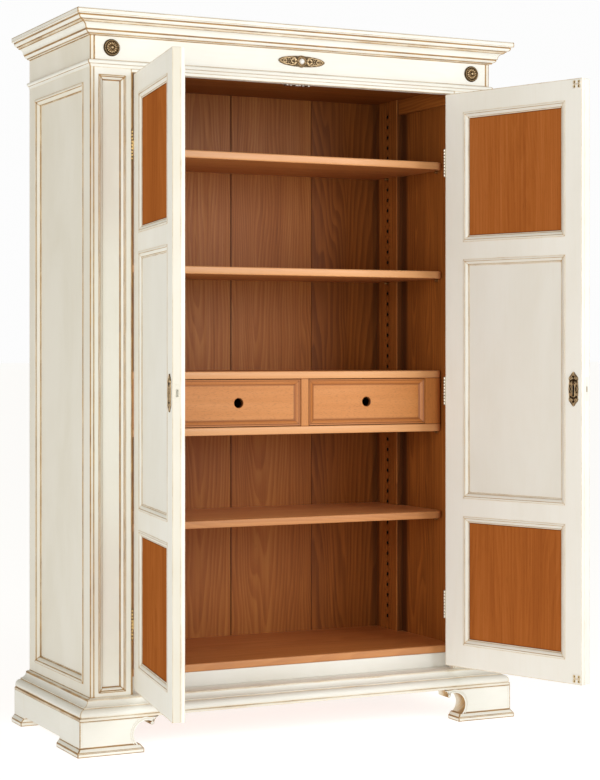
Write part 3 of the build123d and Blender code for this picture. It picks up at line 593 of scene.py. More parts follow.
def sweep(piece, path, dirs, prof, place, closed=False, tone=0.5, mat=0, caps=True, mitre=0.0):
    """prof carried along path with mitred corners.  path: (a, b) points; dirs: outward
    offset per corner; place(a, b, h) -> mm.  Each straight run gets its own vertices."""
    n = len(path)
    runs = [(i, (i + 1) % n) for i in range(n if closed else n - 1)]
    k = seed()
    along = random.uniform(0, 5)
    acc = [0.0]
    for a, b_ in zip(prof, prof[1:]):
        acc.append(acc[-1] + math.hypot(b_[0] - a[0], b_[1] - a[1]))
    for i, j in runs:
        L = math.hypot(path[j][0] - path[i][0], path[j][1] - path[i][1])
        steps = [0.0, 1.0]
        if mitre and L > 40:
            steps = [0.0, 5.0 / L, 1 - 5.0 / L, 1.0]
        verts, gl, gc = [], [], []
        for t in steps:
            end = t in (0.0, 1.0)
            for (d, h, g_), s_ in zip(prof, acc):
                pa = (path[i][0] + dirs[i][0] * d, path[i][1] + dirs[i][1] * d)
                pb = (path[j][0] + dirs[j][0] * d, path[j][1] + dirs[j][1] * d)
                a = pa[0] + (pb[0] - pa[0]) * t
                b_ = pa[1] + (pb[1] - pa[1]) * t
                verts.append(place(a, b_, h))
                m_ = mitre if (end and ((closed) or (t == 0.0 and i > 0) or (t == 1.0 and j < n - 1))) else 0.0
                gl.append(max(g_, m_))
                gc.append(((along + L * t) * 0.001 if False else along + L * t * 0.001, s_ * 0.001, k))
        m = len(prof)
        fs = []
        for q in range(len(steps) - 1):
            for r_ in range(m - 1):
                fs.append((q * m + r_, q * m + r_ + 1, (q + 1) * m + r_ + 1, (q + 1) * m + r_))
        if not closed and caps:
            if i == 0:
                fs.append(tuple(range(m)))
            if j == n - 1:
                fs.append(tuple(range((len(steps) - 1) * m, len(steps) * m)))
        along += L * 0.001
        piece.add(verts, fs, gl, gc, tone, mat)


def ring(piece, u0, u1, w0, w1, prof, place, tone=0.5, mat=0, mitre=0.55):
    """mitred frame moulding; prof is (inset, height, glaze)"""
    path = [(u0, w0), (u1, w0), (u1, w1), (u0, w1)]
    dirs = [(1, 1), (-1, 1), (-1, -1), (1, -1)]
    sweep(piece, path, dirs, prof, place, True, tone, mat, mitre=mitre)


U_PATH = [(-HW, DEPTH), (-HW, 0.0), (HW, 0.0), (HW, DEPTH)]
U_DIRS = [(-1, 0), (-1, -1), (1, -1), (1, 0)]


# ------------------------------------------------------- cornice and astragal
CROWN = profile([
    (0.0, H, 0.0), (49.5, H, 0.25), ("arc", (52.2, H - 0.8), (53.0, H - 2.4, 0.8)),
    (53.0, H - 12.6, 0.7), ("arc", (52.2, H - 14.2), (51.0, H - 15.0, 0.5)),
    (46.0, H - 15.0, 0.9), (46.0, H - 18.0, 0.9),
    ("arc", (45.0, H - 22.5), (40.5, H - 26.0, 0.5)),
    (37.0, H - 26.0, 0.9), (37.0, H - 28.5, 0.35), (33.0, H - 28.5, 0.35), (33.0, H - 32.0, 0.55),
    (30.5, H - 32.0, 0.9), ("arc", (21.5, H - 38.0), (18.5, H - 47.5, 0.45)),
    (16.0, H - 47.5, 0.8), (16.0, H - 51.0, 0.7), ("arc", (13.6, H - 54.6), (9.5, H - 57.0, 0.3)),
    (7.0, H - 57.0, 0.7), (7.0, H - 60.0, 0.5), (2.0, Z_CB, 0.9), (0.0, Z_CB, 0.9),
], 2.2)
p = Piece("v_cornice")
sweep(p, U_PATH, U_DIRS, CROWN, lambda a, b_, h: (a, b_, h), mitre=0.8)
p.build("carcass", [CREAM], ["cornice_front", "cornice_sides"], "cream_paint", angle=40, gk=1.12)

AST = profile([
    (0.0, Z_AT, 0.75), (3.5, Z_AT, 0.55), ("arc", (8.4, 1818.6), (4.5, 1813.5, 0.55)),
    (3.0, 1813.5, 0.8), ("arc", (1.8, 1809.5), (1.0, Z_AB, 0.25)), (0.0, Z_AB, 0.0),
], 2.0)
p = Piece("v_astragal")
sweep(p, U_PATH, U_DIRS, AST, lambda a, b_, h: (a, b_, h), mitre=0.8)
p.build("carcass", [CREAM], ["astragal"], "cream_paint", angle=40, gk=1.15)

# frieze board and header strip
p = Piece("v_frieze")
zs = clip(near([Z_AT + 0.5, Z_CB - 0.5], 3.0), Z_AB, Z_TOPB)
vox(p, clip(near([-PIL_OUT, PIL_OUT], 4), -PIL_OUT, PIL_OUT), zs, [0, 22], lambda u, w, t: True,
    [((-PIL_OUT, Z_AT, 0), (PIL_OUT, Z_AT, 0), 0.8), ((-PIL_OUT, Z_CB, 0), (PIL_OUT, Z_CB, 0), 0.8),
     ((-PIL_OUT, Z_AB, 0), (-PIL_OUT, Z_TOPB, 0), 1.2), ((PIL_OUT, Z_AB, 0), (PIL_OUT, Z_TOPB, 0), 1.2)],
    lambda q: (q[0], q[2], q[1]), gco_for("x"), r=0)
p.build("carcass", [CREAM], ["frieze_board"], "cream_paint")
p = Piece("v_header_rail")
block(p, -PIL_IN, PIL_IN, 0, 24, Z_OPEN, Z_AB, r=1.2, inset=2.0, grain="x", glaze_and_shade=0.55)
p.build("carcass", [CREAM], ["header_rail"], "cream_paint")

# ------------------------------------------------------------------ pilasters
F0, F1 = 513.0, 587.0
PZ0, PZ1 = 156.0, 1785.0
PIL_PROF = profile([(0.0, -1.0, 1.0), (0.0, 1.0, 0.8), (1.4, 1.7, 0.2), (3.0, 1.0, 0.5), (3.4, -0.2, 1.15), (5.0, -1.4, 0.35),
                    ("arc", (8.2, -3.0), (10.2, -8.0, 0.35)), (10.2, -9.6, 0.9), (12.6, -11.0, 0.8), (13.0, -12.0, 0.8)], 1.9)
for s, side in ((-1, "left"), (1, "right")):
    p = Piece("v_pilaster_" + side)
    us = clip(near([PIL_IN, PIL_OUT, F0, F1], 3.8), PIL_IN, PIL_OUT)
    ws = clip(near([Z_PT, Z_AB, PZ0, PZ1], 3.8), Z_PT, Z_AB)
    vox(p, us, ws, [0, 12, 28], lambda u, w, t: not (F0 < u < F1 and PZ0 < w < PZ1 and t < 12),
        rect_feats(PIL_IN, PIL_OUT, Z_PT, Z_AB, 0, 0.46) + rect_feats(F0, F1, PZ0, PZ1, 0, 0.75) + rect_feats(F0 + 12.5, F1 - 12.5, PZ0 + 12.5, PZ1 - 12.5, 12, 0.5),
        lambda q, s=s: (s * q[0], q[2], q[1]), gco_for("z"), r=1.2, bevel=lambda u, w, t: u < PIL_IN + 0.1 and t < 1)
    ring(p, F0, F1, PZ0, PZ1, PIL_PROF, lambda a, b_, h, s=s: (s * a, -h, b_), mitre=0.7)
    # eased lip beside the door, broken at the hinges
    hz = [330.0, 1604.0] if s < 0 else [332.0, 943.0, 1596.0]
    for za, zb in zip([Z_PT] + [z + 43.0 for z in hz], [z - 43.0 for z in hz] + [Z_AB]):
        n0 = len(p.v)
        block(p, s * 491.9, s * 496.6, 1.0, 13.0, za, zb, r=0.9, inset=1.0, grain="z", glaze_and_shade=0.95)
        p.g[n0:] = [0.8 if s < 0 else 0.35] * (len(p.v) - n0)
    p.build("carcass", [CREAM], ["pilaster_" + side] + (["carcass_mouldings"] if s < 0 else []), "cream_paint", gk=1.16)

# ----------------------------------------------------------------- side frames
SY0, SY1 = 54.0, 456.0
SZ0, SZ1 = 174.0, 1769.0
SIDE_PROF = profile([(0.0, -1.0, 0.8), (0.0, 1.6, 0.7), (1.5, 2.6, 0.1), (4.5, 2.6, 0.1), (6.0, 1.6, 0.4), (6.6, -0.4, 0.9),
                     (8.4, -1.4, 0.2), ("arc", (12.4, -3.4), (15.4, -8.0, 0.3)), (15.6, -9.6, 0.8), (18.6, -10.6, 0.5), (19.0, -12.0, 0.7)], 1.8)
for s, side in ((-1, "left"), (1, "right")):
    p = Piece("v_side_" + side)
    us = clip(near([0, PIL_T, SY0, SY1, DEPTH], 3.8), 0, DEPTH)
    ws = clip(near([Z_PT, Z_AB, Z_AT, Z_CB, SZ0, SZ1], 3.8), Z_PB, Z_TOPB)
    feats = rect_feats(SY0, SY1, SZ0, SZ1, 0, 0.7) + rect_feats(SY0 + 19, SY1 - 19, SZ0 + 19, SZ1 - 19, 12, 0.5)
    feats += [((0, Z_PB, 0), (0, Z_TOPB, 0), 0.85), ((DEPTH, Z_PB, 0), (DEPTH, Z_TOPB, 0), 0.7), ((0, Z_PB, LIP), (0, Z_TOPB, LIP), 1.3)]
    feats += [((0, z, 0), (DEPTH, z, 0), k) for z, k in ((Z_PT, 0.9), (Z_AB, 0.3), (Z_AT, 0.8), (Z_CB, 0.8))]
    feats += [((0, z, 0), (0, z, LIP), k) for z, k in ((Z_PT, 0.9), (Z_AT, 0.8), (Z_CB, 0.8))]

    def solid(u, w, t):
        if SY0 < u < SY1 and SZ0 < w < SZ1:
            return 12 < t < 20
        if u < PIL_T:
            return t < LIP
        return t < 22
    vox(p, us, ws, [0, 4, 7.4, LIP, 12, 20, 22], solid, feats, lambda q, s=s: (s * (HW - q[2]), q[0], q[1]), gco_for("z"), r=1.4,
        bevel=lambda u, w, t: (u < 0.1 or u > DEPTH - 0.1) and t < 0.1)
    ring(p, SY0, SY1, SZ0, SZ1, SIDE_PROF, lambda a, b_, h, s=s: (s * (HW + h), a, b_), mitre=0.7)
    p.build("carcass", [CREAM_SIDE_SHADED], ["side_frame_" + side] + (["side_panels"] if s < 0 else []), "cream_paint", gk=1.0)

# ------------------------------------------------------------- plinth and feet
PLINTH = profile([
    (0.0, Z_PT, 0.9), (6.0, 143.2, 0.3), (10.5, 141.0, 0.8), (10.5, 138.0, 0.7),
    ("arc", (15.5, 128.5), (26.5, 123.6, 0.2)), (26.5, 121.0, 0.95), (28.2, 119.6, 0.25), (29.5, 120.0, 0.2),
    ("arc", (39.5, 114.0), (42.0, 102.6, 0.35)), (41.4, 99.6, 0.95), (44.5, 97.8, 0.6),
    (44.5, 93.4, 0.5), (43.6, Z_PB, 0.8), (0.0, Z_PB, 0.0),
], 2.4)
p = Piece("v_plinth")
sweep(p, U_PATH, U_DIRS, PLINTH, lambda a, b_, h: (a, b_, h), mitre=0.85)
seg = len(p.v) // 3          # glaze is thinner along the front
p.g = [q * (1.0 if i // seg == 1 else 1.6) for i, q in enumerate(p.g)]
p.build("carcass", [CREAM], ["plinth_moulding"], "cream_paint", angle=40, gk=0.62)

XB, XT = HW + 44.5, HW + 53.0
SCX, SCZ, SCR = -470.6, 47.0, 35.0
CURL = (-453.8, 74.5, 5.6)
BR_END = -434.7


def prism(piece, pts, lo, hi, place, r=1.2, inset=4.0, grain="x", glaze_and_shade=1.0, mat=0, tone=0.5, front_only=True, gco=None, side=0.0):
    """outline (a, b) pushed from lo to hi, with eased front edges and glaze along them;
    side: width of the glaze on the face at the lowest a"""
    bm = bmesh.new()
    lay = bm.verts.layers.float.new("glaze_and_shade")
    vs = [bm.verts.new((a, b_, lo)) for a, b_ in pts]
    f = bm.faces.new(vs)
    ext = bmesh.ops.extrude_face_region(bm, geom=[f])
    for v in [q for q in ext["geom"] if isinstance(q, bmesh.types.BMVert)]:
        v.co.z = hi
    bmesh.ops.recalc_face_normals(bm, faces=bm.faces)
    bm.normal_update()
    edges = [e for e in bm.edges if abs(e.verts[0].co.z - lo) < 1e-6 and abs(e.verts[1].co.z - lo) < 1e-6]
    if not front_only:
        edges += [e for e in bm.edges if abs(e.verts[0].co.z - hi) < 1e-6 and abs(e.verts[1].co.z - hi) < 1e-6]
    if r > 0:
        bmesh.ops.bevel(bm, geom=edges, offset=r, segments=2, profile=0.5, affect="EDGES", clamp_overlap=True)
    bm.normal_update()
    for v in bm.verts:
        v[lay] = 0.3 if side and abs(v.co.z - hi) < 1e-3 else 1.0
    if side:
        a0 = min(v.co.x for v in bm.verts)
        flat = [q for q in bm.faces if all(abs(v.co.x - a0) < 1e-3 for v in q.verts) and q.calc_area() > 400]
        bmesh.ops.inset_individual(bm, faces=flat, thickness=side, use_even_offset=True)
        for q in flat:
            for v in q.verts:
                v[lay] = 0.0
        for v in bm.verts:
            if abs(v.co.x - a0) < 1e-3 and abs(v.co.z - hi) < 1e-3:
                v[lay] = 0.0
    for sgn, z in ((-1, lo), (1, hi)):
        big = [q for q in bm.faces if abs(q.normal.z) > 0.999 and len(q.verts) > 6 and abs(q.calc_center_median().z - z) < 0.1]
        for q in big:
            res = bmesh.ops.inset_region(bm, faces=[q], thickness=inset, use_even_offset=True)
            for v in q.verts:
                v[lay] = 0.0
    for v in bm.verts:
        if v.co.z > lo + r * 1.05 and v.co.z < hi + 1 and (not front_only or abs(v.co.z - hi) < 0.01):
            v[lay] = min(v[lay], 0.35)
    dump(bm, lay, piece, gco or gco_for(grain), tone, mat, glaze_and_shade, place)
    bm.free()


def foot_outline():
    x_low = SCX - math.sqrt(SCR ** 2 - (SCZ - 22.0) ** 2)
    ux, uz, ur = CURL
    gap = math.hypot(ux - SCX, uz - SCZ)
    al = (SCR ** 2 - ur ** 2 + gap ** 2) / (2 * gap)
    ac = math.sqrt(SCR ** 2 - al ** 2)
    ex, ez = (ux - SCX) / gap, (uz - SCZ) / gap
    meet = (SCX + al * ex - ac * ez, SCZ + al * ez + ac * ex)
    a20 = math.radians(20)
    heel = (ux + ur * math.cos(a20), uz + ur * math.sin(a20))
    pts = [(-XB, 22.0), (x_low, 22.0)]
    pts += arc((x_low, 22.0), (SCX - SCR * math.cos(math.radians(35)), SCZ + SCR * math.sin(math.radians(35))), (SCX, SCZ + SCR), 20)
    pts += arc((SCX, SCZ + SCR), (SCX + SCR * math.cos(math.radians(78)), SCZ + SCR * math.sin(math.radians(78))), meet, 6)
    scroll = list(pts[1:])
    pts += arc(meet, (ux - ur, uz), (ux, uz - ur), 6)
    a30 = math.radians(-30)
    pts += arc((ux, uz - ur), (ux + ur * math.cos(a30), uz + ur * math.sin(a30)), heel, 6)
    pts += arc(heel, ((heel[0] + BR_END) / 2 - 1.8, (heel[1] + Z_PB) / 2 + 1.8), (BR_END, Z_PB), 6)
    pts += [(-XB, Z_PB)]
    return pts, scroll, meet


def bead(piece, line, r, place, glaze_and_shade=0.9, taper=True):
    """half-round bead that follows line, a list of (a, b) points"""
    n = 8
    k, al = seed(), 0.0
    verts, gl, gc = [], [], []
    for i, q in enumerate(line):
        a = line[max(0, i - 1)]
        b_ = line[min(len(line) - 1, i + 1)]
        t = Vector((b_[0] - a[0], b_[1] - a[1])).normalized()
        nn = Vector((-t.y, t.x))
        if i:
            al += math.hypot(q[0] - line[i - 1][0], q[1] - line[i - 1][1])
        rr = r
        if taper:
            e = min(i, len(line) - 1 - i) / 3.0
            rr = r * min(1.0, 0.35 + 0.65 * e)
        for j in range(n + 1):
            th = math.pi * j / n
            c, h = math.cos(th) * rr, math.sin(th) * rr
            verts.append(place(q[0] + nn.x * c, q[1] + nn.y * c, h))
            gl.append(glaze_and_shade if j in (0, n) else (0.25 if j in (1, n - 1) else 0.0))
            gc.append((al * 0.001, j * 0.0008, k))
    fs = []
    for i in range(len(line) - 1):
        for j in range(n):
            fs.append((i * (n + 1) + j, i * (n + 1) + j + 1, (i + 1) * (n + 1) + j + 1, (i + 1) * (n + 1) + j))
    piece.add(verts, fs, gl, gc)


def toe(piece, sx, low, top, levels=(0.0, 11.0, 22.0)):
    """toe pad: low outline up to the bead, sloping in to the top outline"""
    bm = bmesh.new()
    lay = bm.verts.layers.float.new("glaze_and_shade")
    rows = []
    for z, pts in ((levels[0], low), (levels[1], low), (levels[2], top)):
        rows.append([bm.verts.new((a, b_, z)) for a, b_ in pts])
    n = len(low)
    for r0, r1 in zip(rows, rows[1:]):
        for i in range(n):
            bm.faces.new((r0[i], r0[(i + 1) % n], r1[(i + 1) % n], r1[i]))
    bm.faces.new(rows[0])
    bm.faces.new(rows[-1])
    bmesh.ops.recalc_face_normals(bm, faces=bm.faces)
    bm.normal_update()
    bmesh.ops.bevel(bm, geom=[e for e in bm.edges if e.is_convex and e.calc_face_angle(0) > 0.3], offset=0.9, segments=2,
                    profile=0.5, affect="EDGES", clamp_overlap=True)
    for v in bm.verts:
        v[lay] = 0.85
    bm.normal_update()
    for f in [f for f in bm.faces if f.calc_area() > 150 and len(f.verts) == 4]:
        dims = sorted(e.calc_length() for e in f.edges)
        bmesh.ops.inset_individual(bm, faces=[f], thickness=min(3.0, dims[0] * 0.28), use_even_offset=True)
        for v in f.verts:
            v[lay] = 0.05
    dump(bm, lay, piece, gco_for("x"), 0.5, 0, 1.0, lambda q: (sx * q[0], q[1], q[2]))
    bm.free()


OUT, SCROLL, TIP = foot_outline()


def offset_line(line, d):
    """the line moved d to its left"""
    out = []
    for i, q in enumerate(line):
        a = line[max(0, i - 1)]
        b_ = line[min(len(line) - 1, i + 1)]
        t = Vector((b_[0] - a[0], b_[1] - a[1])).normalized()
        out.append((q[0] - t.y * d, q[1] + t.x * d))
    return out


def spiral(cx, cz, r0, r1, a0, turns, n):
    return [(cx + (r0 + (r1 - r0) * i / n) * math.cos(a0 + turns * 2 * math.pi * i / n),
             cz + (r0 + (r1 - r0) * i / n) * math.sin(a0 + turns * 2 * math.pi * i / n)) for i in range(n + 1)]


for s, side in ((1, "left"), (-1, "right")):          # outline is drawn for the left foot
    p = Piece("v_foot_front_" + side)
    # front bracket: an outline pushed back from the plinth face
    prism(p, OUT, -44.5, 8.0, lambda q, s=s: (s * q[0], q[2], q[1]), r=0.8, inset=3.0, grain="x", glaze_and_shade=0.7, side=2.4)
    fr = lambda a, b_, h, s=s: (s * a, -44.4 - h, b_)
    # raised band that follows the scroll: a bead on the edge, a quirk and a second bead
    bead(p, offset_line(SCROLL, 2.3), 2.2, fr, glaze_and_shade=0.75, taper=False)
    bead(p, offset_line(SCROLL[:-3], 8.2), 1.5, fr, glaze_and_shade=1.0)
    bead(p, spiral(CURL[0], CURL[1], 4.4, 0.7, math.radians(150), 1.35, 30), 1.4, fr, glaze_and_shade=1.0)
    # thin bead beside the corner, on the front face, and one under the plinth
    bead(p, [(-XB + 7.5, 24.0 + 3.0 * i) for i in range(22)], 0.9, fr, glaze_and_shade=1.0, taper=False)
    bead(p, [(BR_END - 4.0 - 7.0 * i, 88.0) for i in range(32)], 0.8, fr, glaze_and_shade=0.9, taper=False)
    # side: one long face down to the toe, so no joint shows
    v = [(s * -XB, y, z) for y in (7.9, 12.0, 117.0) for z in (22.0, 26.0, 88.0, 92.0)]
    k = gco_for("y")
    p.add(v, [(i * 4 + j, i * 4 + j + 1, i * 4 + j + 5, i * 4 + j + 4) for i in range(2) for j in range(3)],
          [0.35, 0.0, 0.0, 0.35] * 3, [k(q) for q in v])
    block(p, s * (-XB + 0.2), s * (-HW + 6), 7.9, 117, 22, 92, r=0.0, inset=4, grain="y", glaze_and_shade=0.0)
    toe(p, s, [(-XT, -53), (-480, -53), (-480, 8), (-606, 8), (-606, 117), (-XT, 117)],
        [(-XB, -44.5), (-488.9, -44.5), (-488.9, 8), (-606, 8), (-606, 117), (-XB, 117)])
    p.build("carcass", [CREAM], ["foot_front_" + side], "cream_paint", gk=1.28)

p = Piece("v_feet_rear")
for s in (1, -1):
    block(p, -XB, -HW + 22, 424, 510, 22, 92, r=0.0, inset=3, grain="y", glaze_and_shade=0.3, place=lambda q, s=s: (s * q[0], q[1], q[2]))
    toe(p, s, [(-XT, 424), (-584, 424), (-584, 510), (-XT, 510)], [(-XB, 424), (-590, 424), (-590, 510), (-XB, 510)])
p.build("carcass", [CREAM], ["feet_rear"], "cream_paint")
p = Piece("v_side_aprons")
for s in (1, -1):
    block(p, -XB, -XB + 22, 117.0, 424.0, 27, 92, r=0.0, inset=3, grain="y", glaze_and_shade=0.3, place=lambda q, s=s: (s * q[0], q[1], q[2]))
p.build("carcass", [CREAM], ["side_aprons"], "cream_paint")
p = Piece("v_base_frame")
for a in ((-590, 590, 0, 65), (-XI, XI, 450, 506), (-XI, -XI + 50, 65, 450), (XI - 50, XI, 65, 450)):
    block(p, a[0], a[1], a[2], a[3], Z_PB, Z_PT, r=1.0, inset=3, grain="x" if a[1] - a[0] > 400 else "y", glaze_and_shade=0.1,
          mat=1 if a[2] == 0 else 0)
p.build("carcass", [WOOD_RAW, CREAM_PLAIN], ["base_frame"], "raw_wood")
p = Piece("v_top_board")
block(p, -HW, HW, 0, DEPTH, Z_TOPB, H, r=0.5, inset=3, grain="x", glaze_and_shade=0.5)
p.build("carcass", [WOOD_RAW], ["top_board"], "raw_wood")
p = Piece("v_bottom_rail")
block(p, -XI, XI, 44, 65, Z_PT, FLOOR0, r=1.0, inset=3, grain="x", glaze_and_shade=0.08)
p.build("carcass", [CREAM_PLAIN], ["bottom_rail"], "cream_paint")

# ------------------------------------------------------------------- interior
for s, side in ((-1, "left"), (1, "right")):
    p = Piece("v_lining_" + side)
    # the right lining takes a darker tone than the left, and a dark band runs beside the post front: painted shade
    vox(p, [PIL_T, PIL_T + 4, POST0 - 44, POST0 - 34, POST0 - 22, POST0, BACK], [FLOOR0, FLOOR1, FLOOR1 + 8, CEIL0 - 8, CEIL0], [0, LIN],
        lambda u, w, t: True, [((POST0, FLOOR0, 0), (POST0, CEIL0, 0), 0.85)], lambda q, s=s: (s * (WALL + q[2]), q[0], q[1]),
        gco_for("z"), r=0, tone=0.62 if s < 0 else 0.80, reach=42.0, core=24.0)
    p.build("carcass", [WOOD_BACK], ["inner_lining_" + side], "brown_wood")
p = Piece("v_inner_battens")
for s in (-1, 1):
    for zc in (230.0, 640.0, 1050.0, 1460.0):
        for ya in (60, 440):
            block(p, s * (WALL + LIN), s * XI, ya, ya + 24, zc, zc + 45, r=0.8, grain="x", glaze_and_shade=0.2)
p.build("carcass", [WOOD_RAW], ["inner_battens"], "raw_wood")

p = Piece("v_back_planks")
CUTS = [-XI - 0.6, -261.1, 9.3, 279.7, XI + 0.6]
# the rightmost plank takes the darkest tone: painted shade
for xa, xb, tn in zip(CUTS, CUTS[1:], (0.40, 0.20, 0.34, 0.86)):
    if max(abs(xa), abs(xb)) < XI:
        block(p, xa + 0.03, xb - 0.03, BACK, BACK + PLANK, Z_PT, Z_TOPB, r=1.3, inset=3, grain="z", glaze_and_shade=0.75, tone=tn, seg=3)
        continue
    # outer planks: darker where they meet the corner strips, a painted shade in the corner
    e = -1 if xa < 0 else 1
    xj = xb - 0.03 if e < 0 else xa + 0.03
    vox(p, [xj, xj + e * 3, e * 478, e * 486, e * 494, e * 504, e * XI], [Z_PT, Z_TOPB], [BACK, BACK + PLANK], lambda u, w, t: True,
        [((e * 506, Z_PT, BACK), (e * 506, Z_TOPB, BACK), 0.6)], lambda q: (q[0], q[2], q[1]), gco_for("z"), r=1.3,
        bevel=lambda u, w, t, xj=xj: abs(u - xj) < 0.1 and t < BACK + 0.1, tone=tn, reach=24.0, core=14.0)
p.build("carcass", [WOOD_BACK], ["back_planks"], "brown_wood")


def holed(piece, x, y0, y1, z0, z1, yc, zc, r, out, depth, mat=0, mat_hole=1):
    """face of a post in the plane x with a row of round holes; out = +-1 points to its front"""
    n = 20
    k = gco_for("z")
    zs = [z0] + [(a + b_) / 2 for a, b_ in zip(zc, zc[1:])] + [z1]
    for za, zb, c in zip(zs, zs[1:], zc):
        hy = 14.0
        sq = []
        for i in range(n):
            t = 2 * math.pi * i / n
            m_ = max(abs(math.cos(t)), abs(math.sin(t)))
            sq.append((yc + hy * math.cos(t) / m_, (c + (zb - c) * math.sin(t) / m_) if math.sin(t) > 0 else (c + (c - za) * math.sin(t) / m_)))
        rim = [(yc + (r + 0.9) * math.cos(2 * math.pi * i / n), c + (r + 0.9) * math.sin(2 * math.pi * i / n)) for i in range(n)]
        hole = [(yc + r * math.cos(2 * math.pi * i / n), c + r * math.sin(2 * math.pi * i / n)) for i in range(n)]
        v = [(x, a, b_) for a, b_ in sq] + [(x, a, b_) for a, b_ in rim] + [(x - out * 0.5, a, b_) for a, b_ in hole] + [(x - out * depth, a, b_) for a, b_ in hole]
        # the face darkens towards each hole, and the hole's walls and bottom take the near-black material: painted
        # shade in the holes
        g_ = [0.0] * n + [0.55] * n + [1.0] * n + [1.0] * n
        fs = []
        for i in range(n):
            j = (i + 1) % n
            for q in range(2):
                fs.append((q * n + i, q * n + j, (q + 1) * n + j, (q + 1) * n + i))
        piece.add(v, fs, g_, [k(q) for q in v], 0.5, mat)
        piece.add(v[2 * n:], [(i, (i + 1) % n, n + (i + 1) % n, n + i) for i in range(n)] + [tuple(range(n, 2 * n))],
                  [1.0] * (2 * n), None, 0.5, mat_hole)
        for ya, yb in ((y0, yc - hy), (yc + hy, y1)):
            e0, e1 = (0.0, 0.0) if ya == y0 else (0.0, 0.5)
            ym = ya + 3 if ya == y0 else yb - 3
            ys = (ya, ym, yb)
            gg = (e0, 0.0, e1)
            v = [(x, q, z) for z in (za, zb) for q in ys]
            piece.add(v, [(0, 1, 4, 3), (1, 2, 5, 4)], list(gg) * 2, [k(q) for q in v], 0.5, mat)


ZC = [HOLE0 + i * PITCH for i in range(-10, 39)]
p = Piece("v_shelf_posts")
for s in (-1, 1):
    x_in = s * (WALL - 20)
    holed(p, x_in, POST0 + 2.4, POST1, FLOOR1, CEIL0, ROW_Y, ZC, 5.0, -s, 12)
    k = gco_for("z")
    foot = [(x_in, POST0 + 2.4), (x_in + s * 0.7, POST0 + 0.7), (x_in + s * 2.4, POST0), (s * WALL, POST0), (s * WALL, POST1), (x_in, POST1)]
    # the post's rounded front corner takes a light tone (painted highlight); its front side and rear face take a dark
    # tone and dark edge colour (painted shade)
    for (xa, ya), (xb, yb), ga, gb, tn in ((foot[0], foot[1], 0.0, 0.0, 0.1), (foot[1], foot[2], 0.0, 0.3, 0.2), (foot[2], foot[3], 0.5, 0.8, 0.8), (foot[4], foot[5], 0.5, 0.5, 0.85)):
        v = [(xa, ya, FLOOR1), (xb, yb, FLOOR1), (xb, yb, CEIL0), (xa, ya, CEIL0)]
        p.add(v, [(0, 1, 2, 3)], [ga, gb, gb, ga], [k(q) for q in v], tn, 0)
    for z in (FLOOR1, CEIL0):
        v = [(a, b_, z) for a, b_ in foot]
        p.add(v, [tuple(range(6))], [0.2] * 6, [k(q) for q in v], 0.5, 0)
    v = [(s * WALL, POST0, FLOOR1), (s * WALL, POST1, FLOOR1), (s * WALL, POST1, CEIL0), (s * WALL, POST0, CEIL0)]
    p.add(v, [(0, 1, 2, 3)], [0.2] * 4, [k(q) for q in v], 0.5, 0)
    block(p, s * (WALL - 14), s * WALL, 44, POST0, 1776, CEIL0, r=1.0, inset=3, grain="y", glaze_and_shade=0.3, tone=0.5)
    # strip of wall behind the post, darkened towards the back corner: painted shade
    vox(p, sorted((s * (WALL - 18), s * WALL)), [FLOOR1, CEIL0], [470, BACK], lambda u, w, t: True,
        [((s * (WALL - 9), FLOOR1, 478), (s * (WALL - 9), CEIL0, 478), 0.6)], lambda q: (q[0], q[2], q[1]), gco_for("z"), r=0, tone=0.7, reach=60.0, core=40.0)
p.build("carcass", [WOOD_BACK, SHADE_BLACK], ["shelf_posts"], "brown_wood")


def board_outline(x0, x1, y0, y1, r, notch=False, n=10):
    q = r * (1 - 1 / math.sqrt(2))
    pts = [(x0 + r, y0), (x1 - r, y0)] + arc((x1 - r, y0), (x1 - q, y0 + q), (x1, y0 + r), n)
    if notch:
        yn = POST0 - 1.5
        pts += [(x1, yn), (x1 - 20, yn), (x1 - 20, y1), (x0 + 20, y1), (x0 + 20, yn), (x0, yn)]
    else:
        pts += [(x1, y1), (x0, y1)]
    pts += [(x0, y0 + r)]
    pts += arc((x0, y0 + r), (x0 + q, y0 + q), (x0 + r, y0), n)[:-1]
    return pts


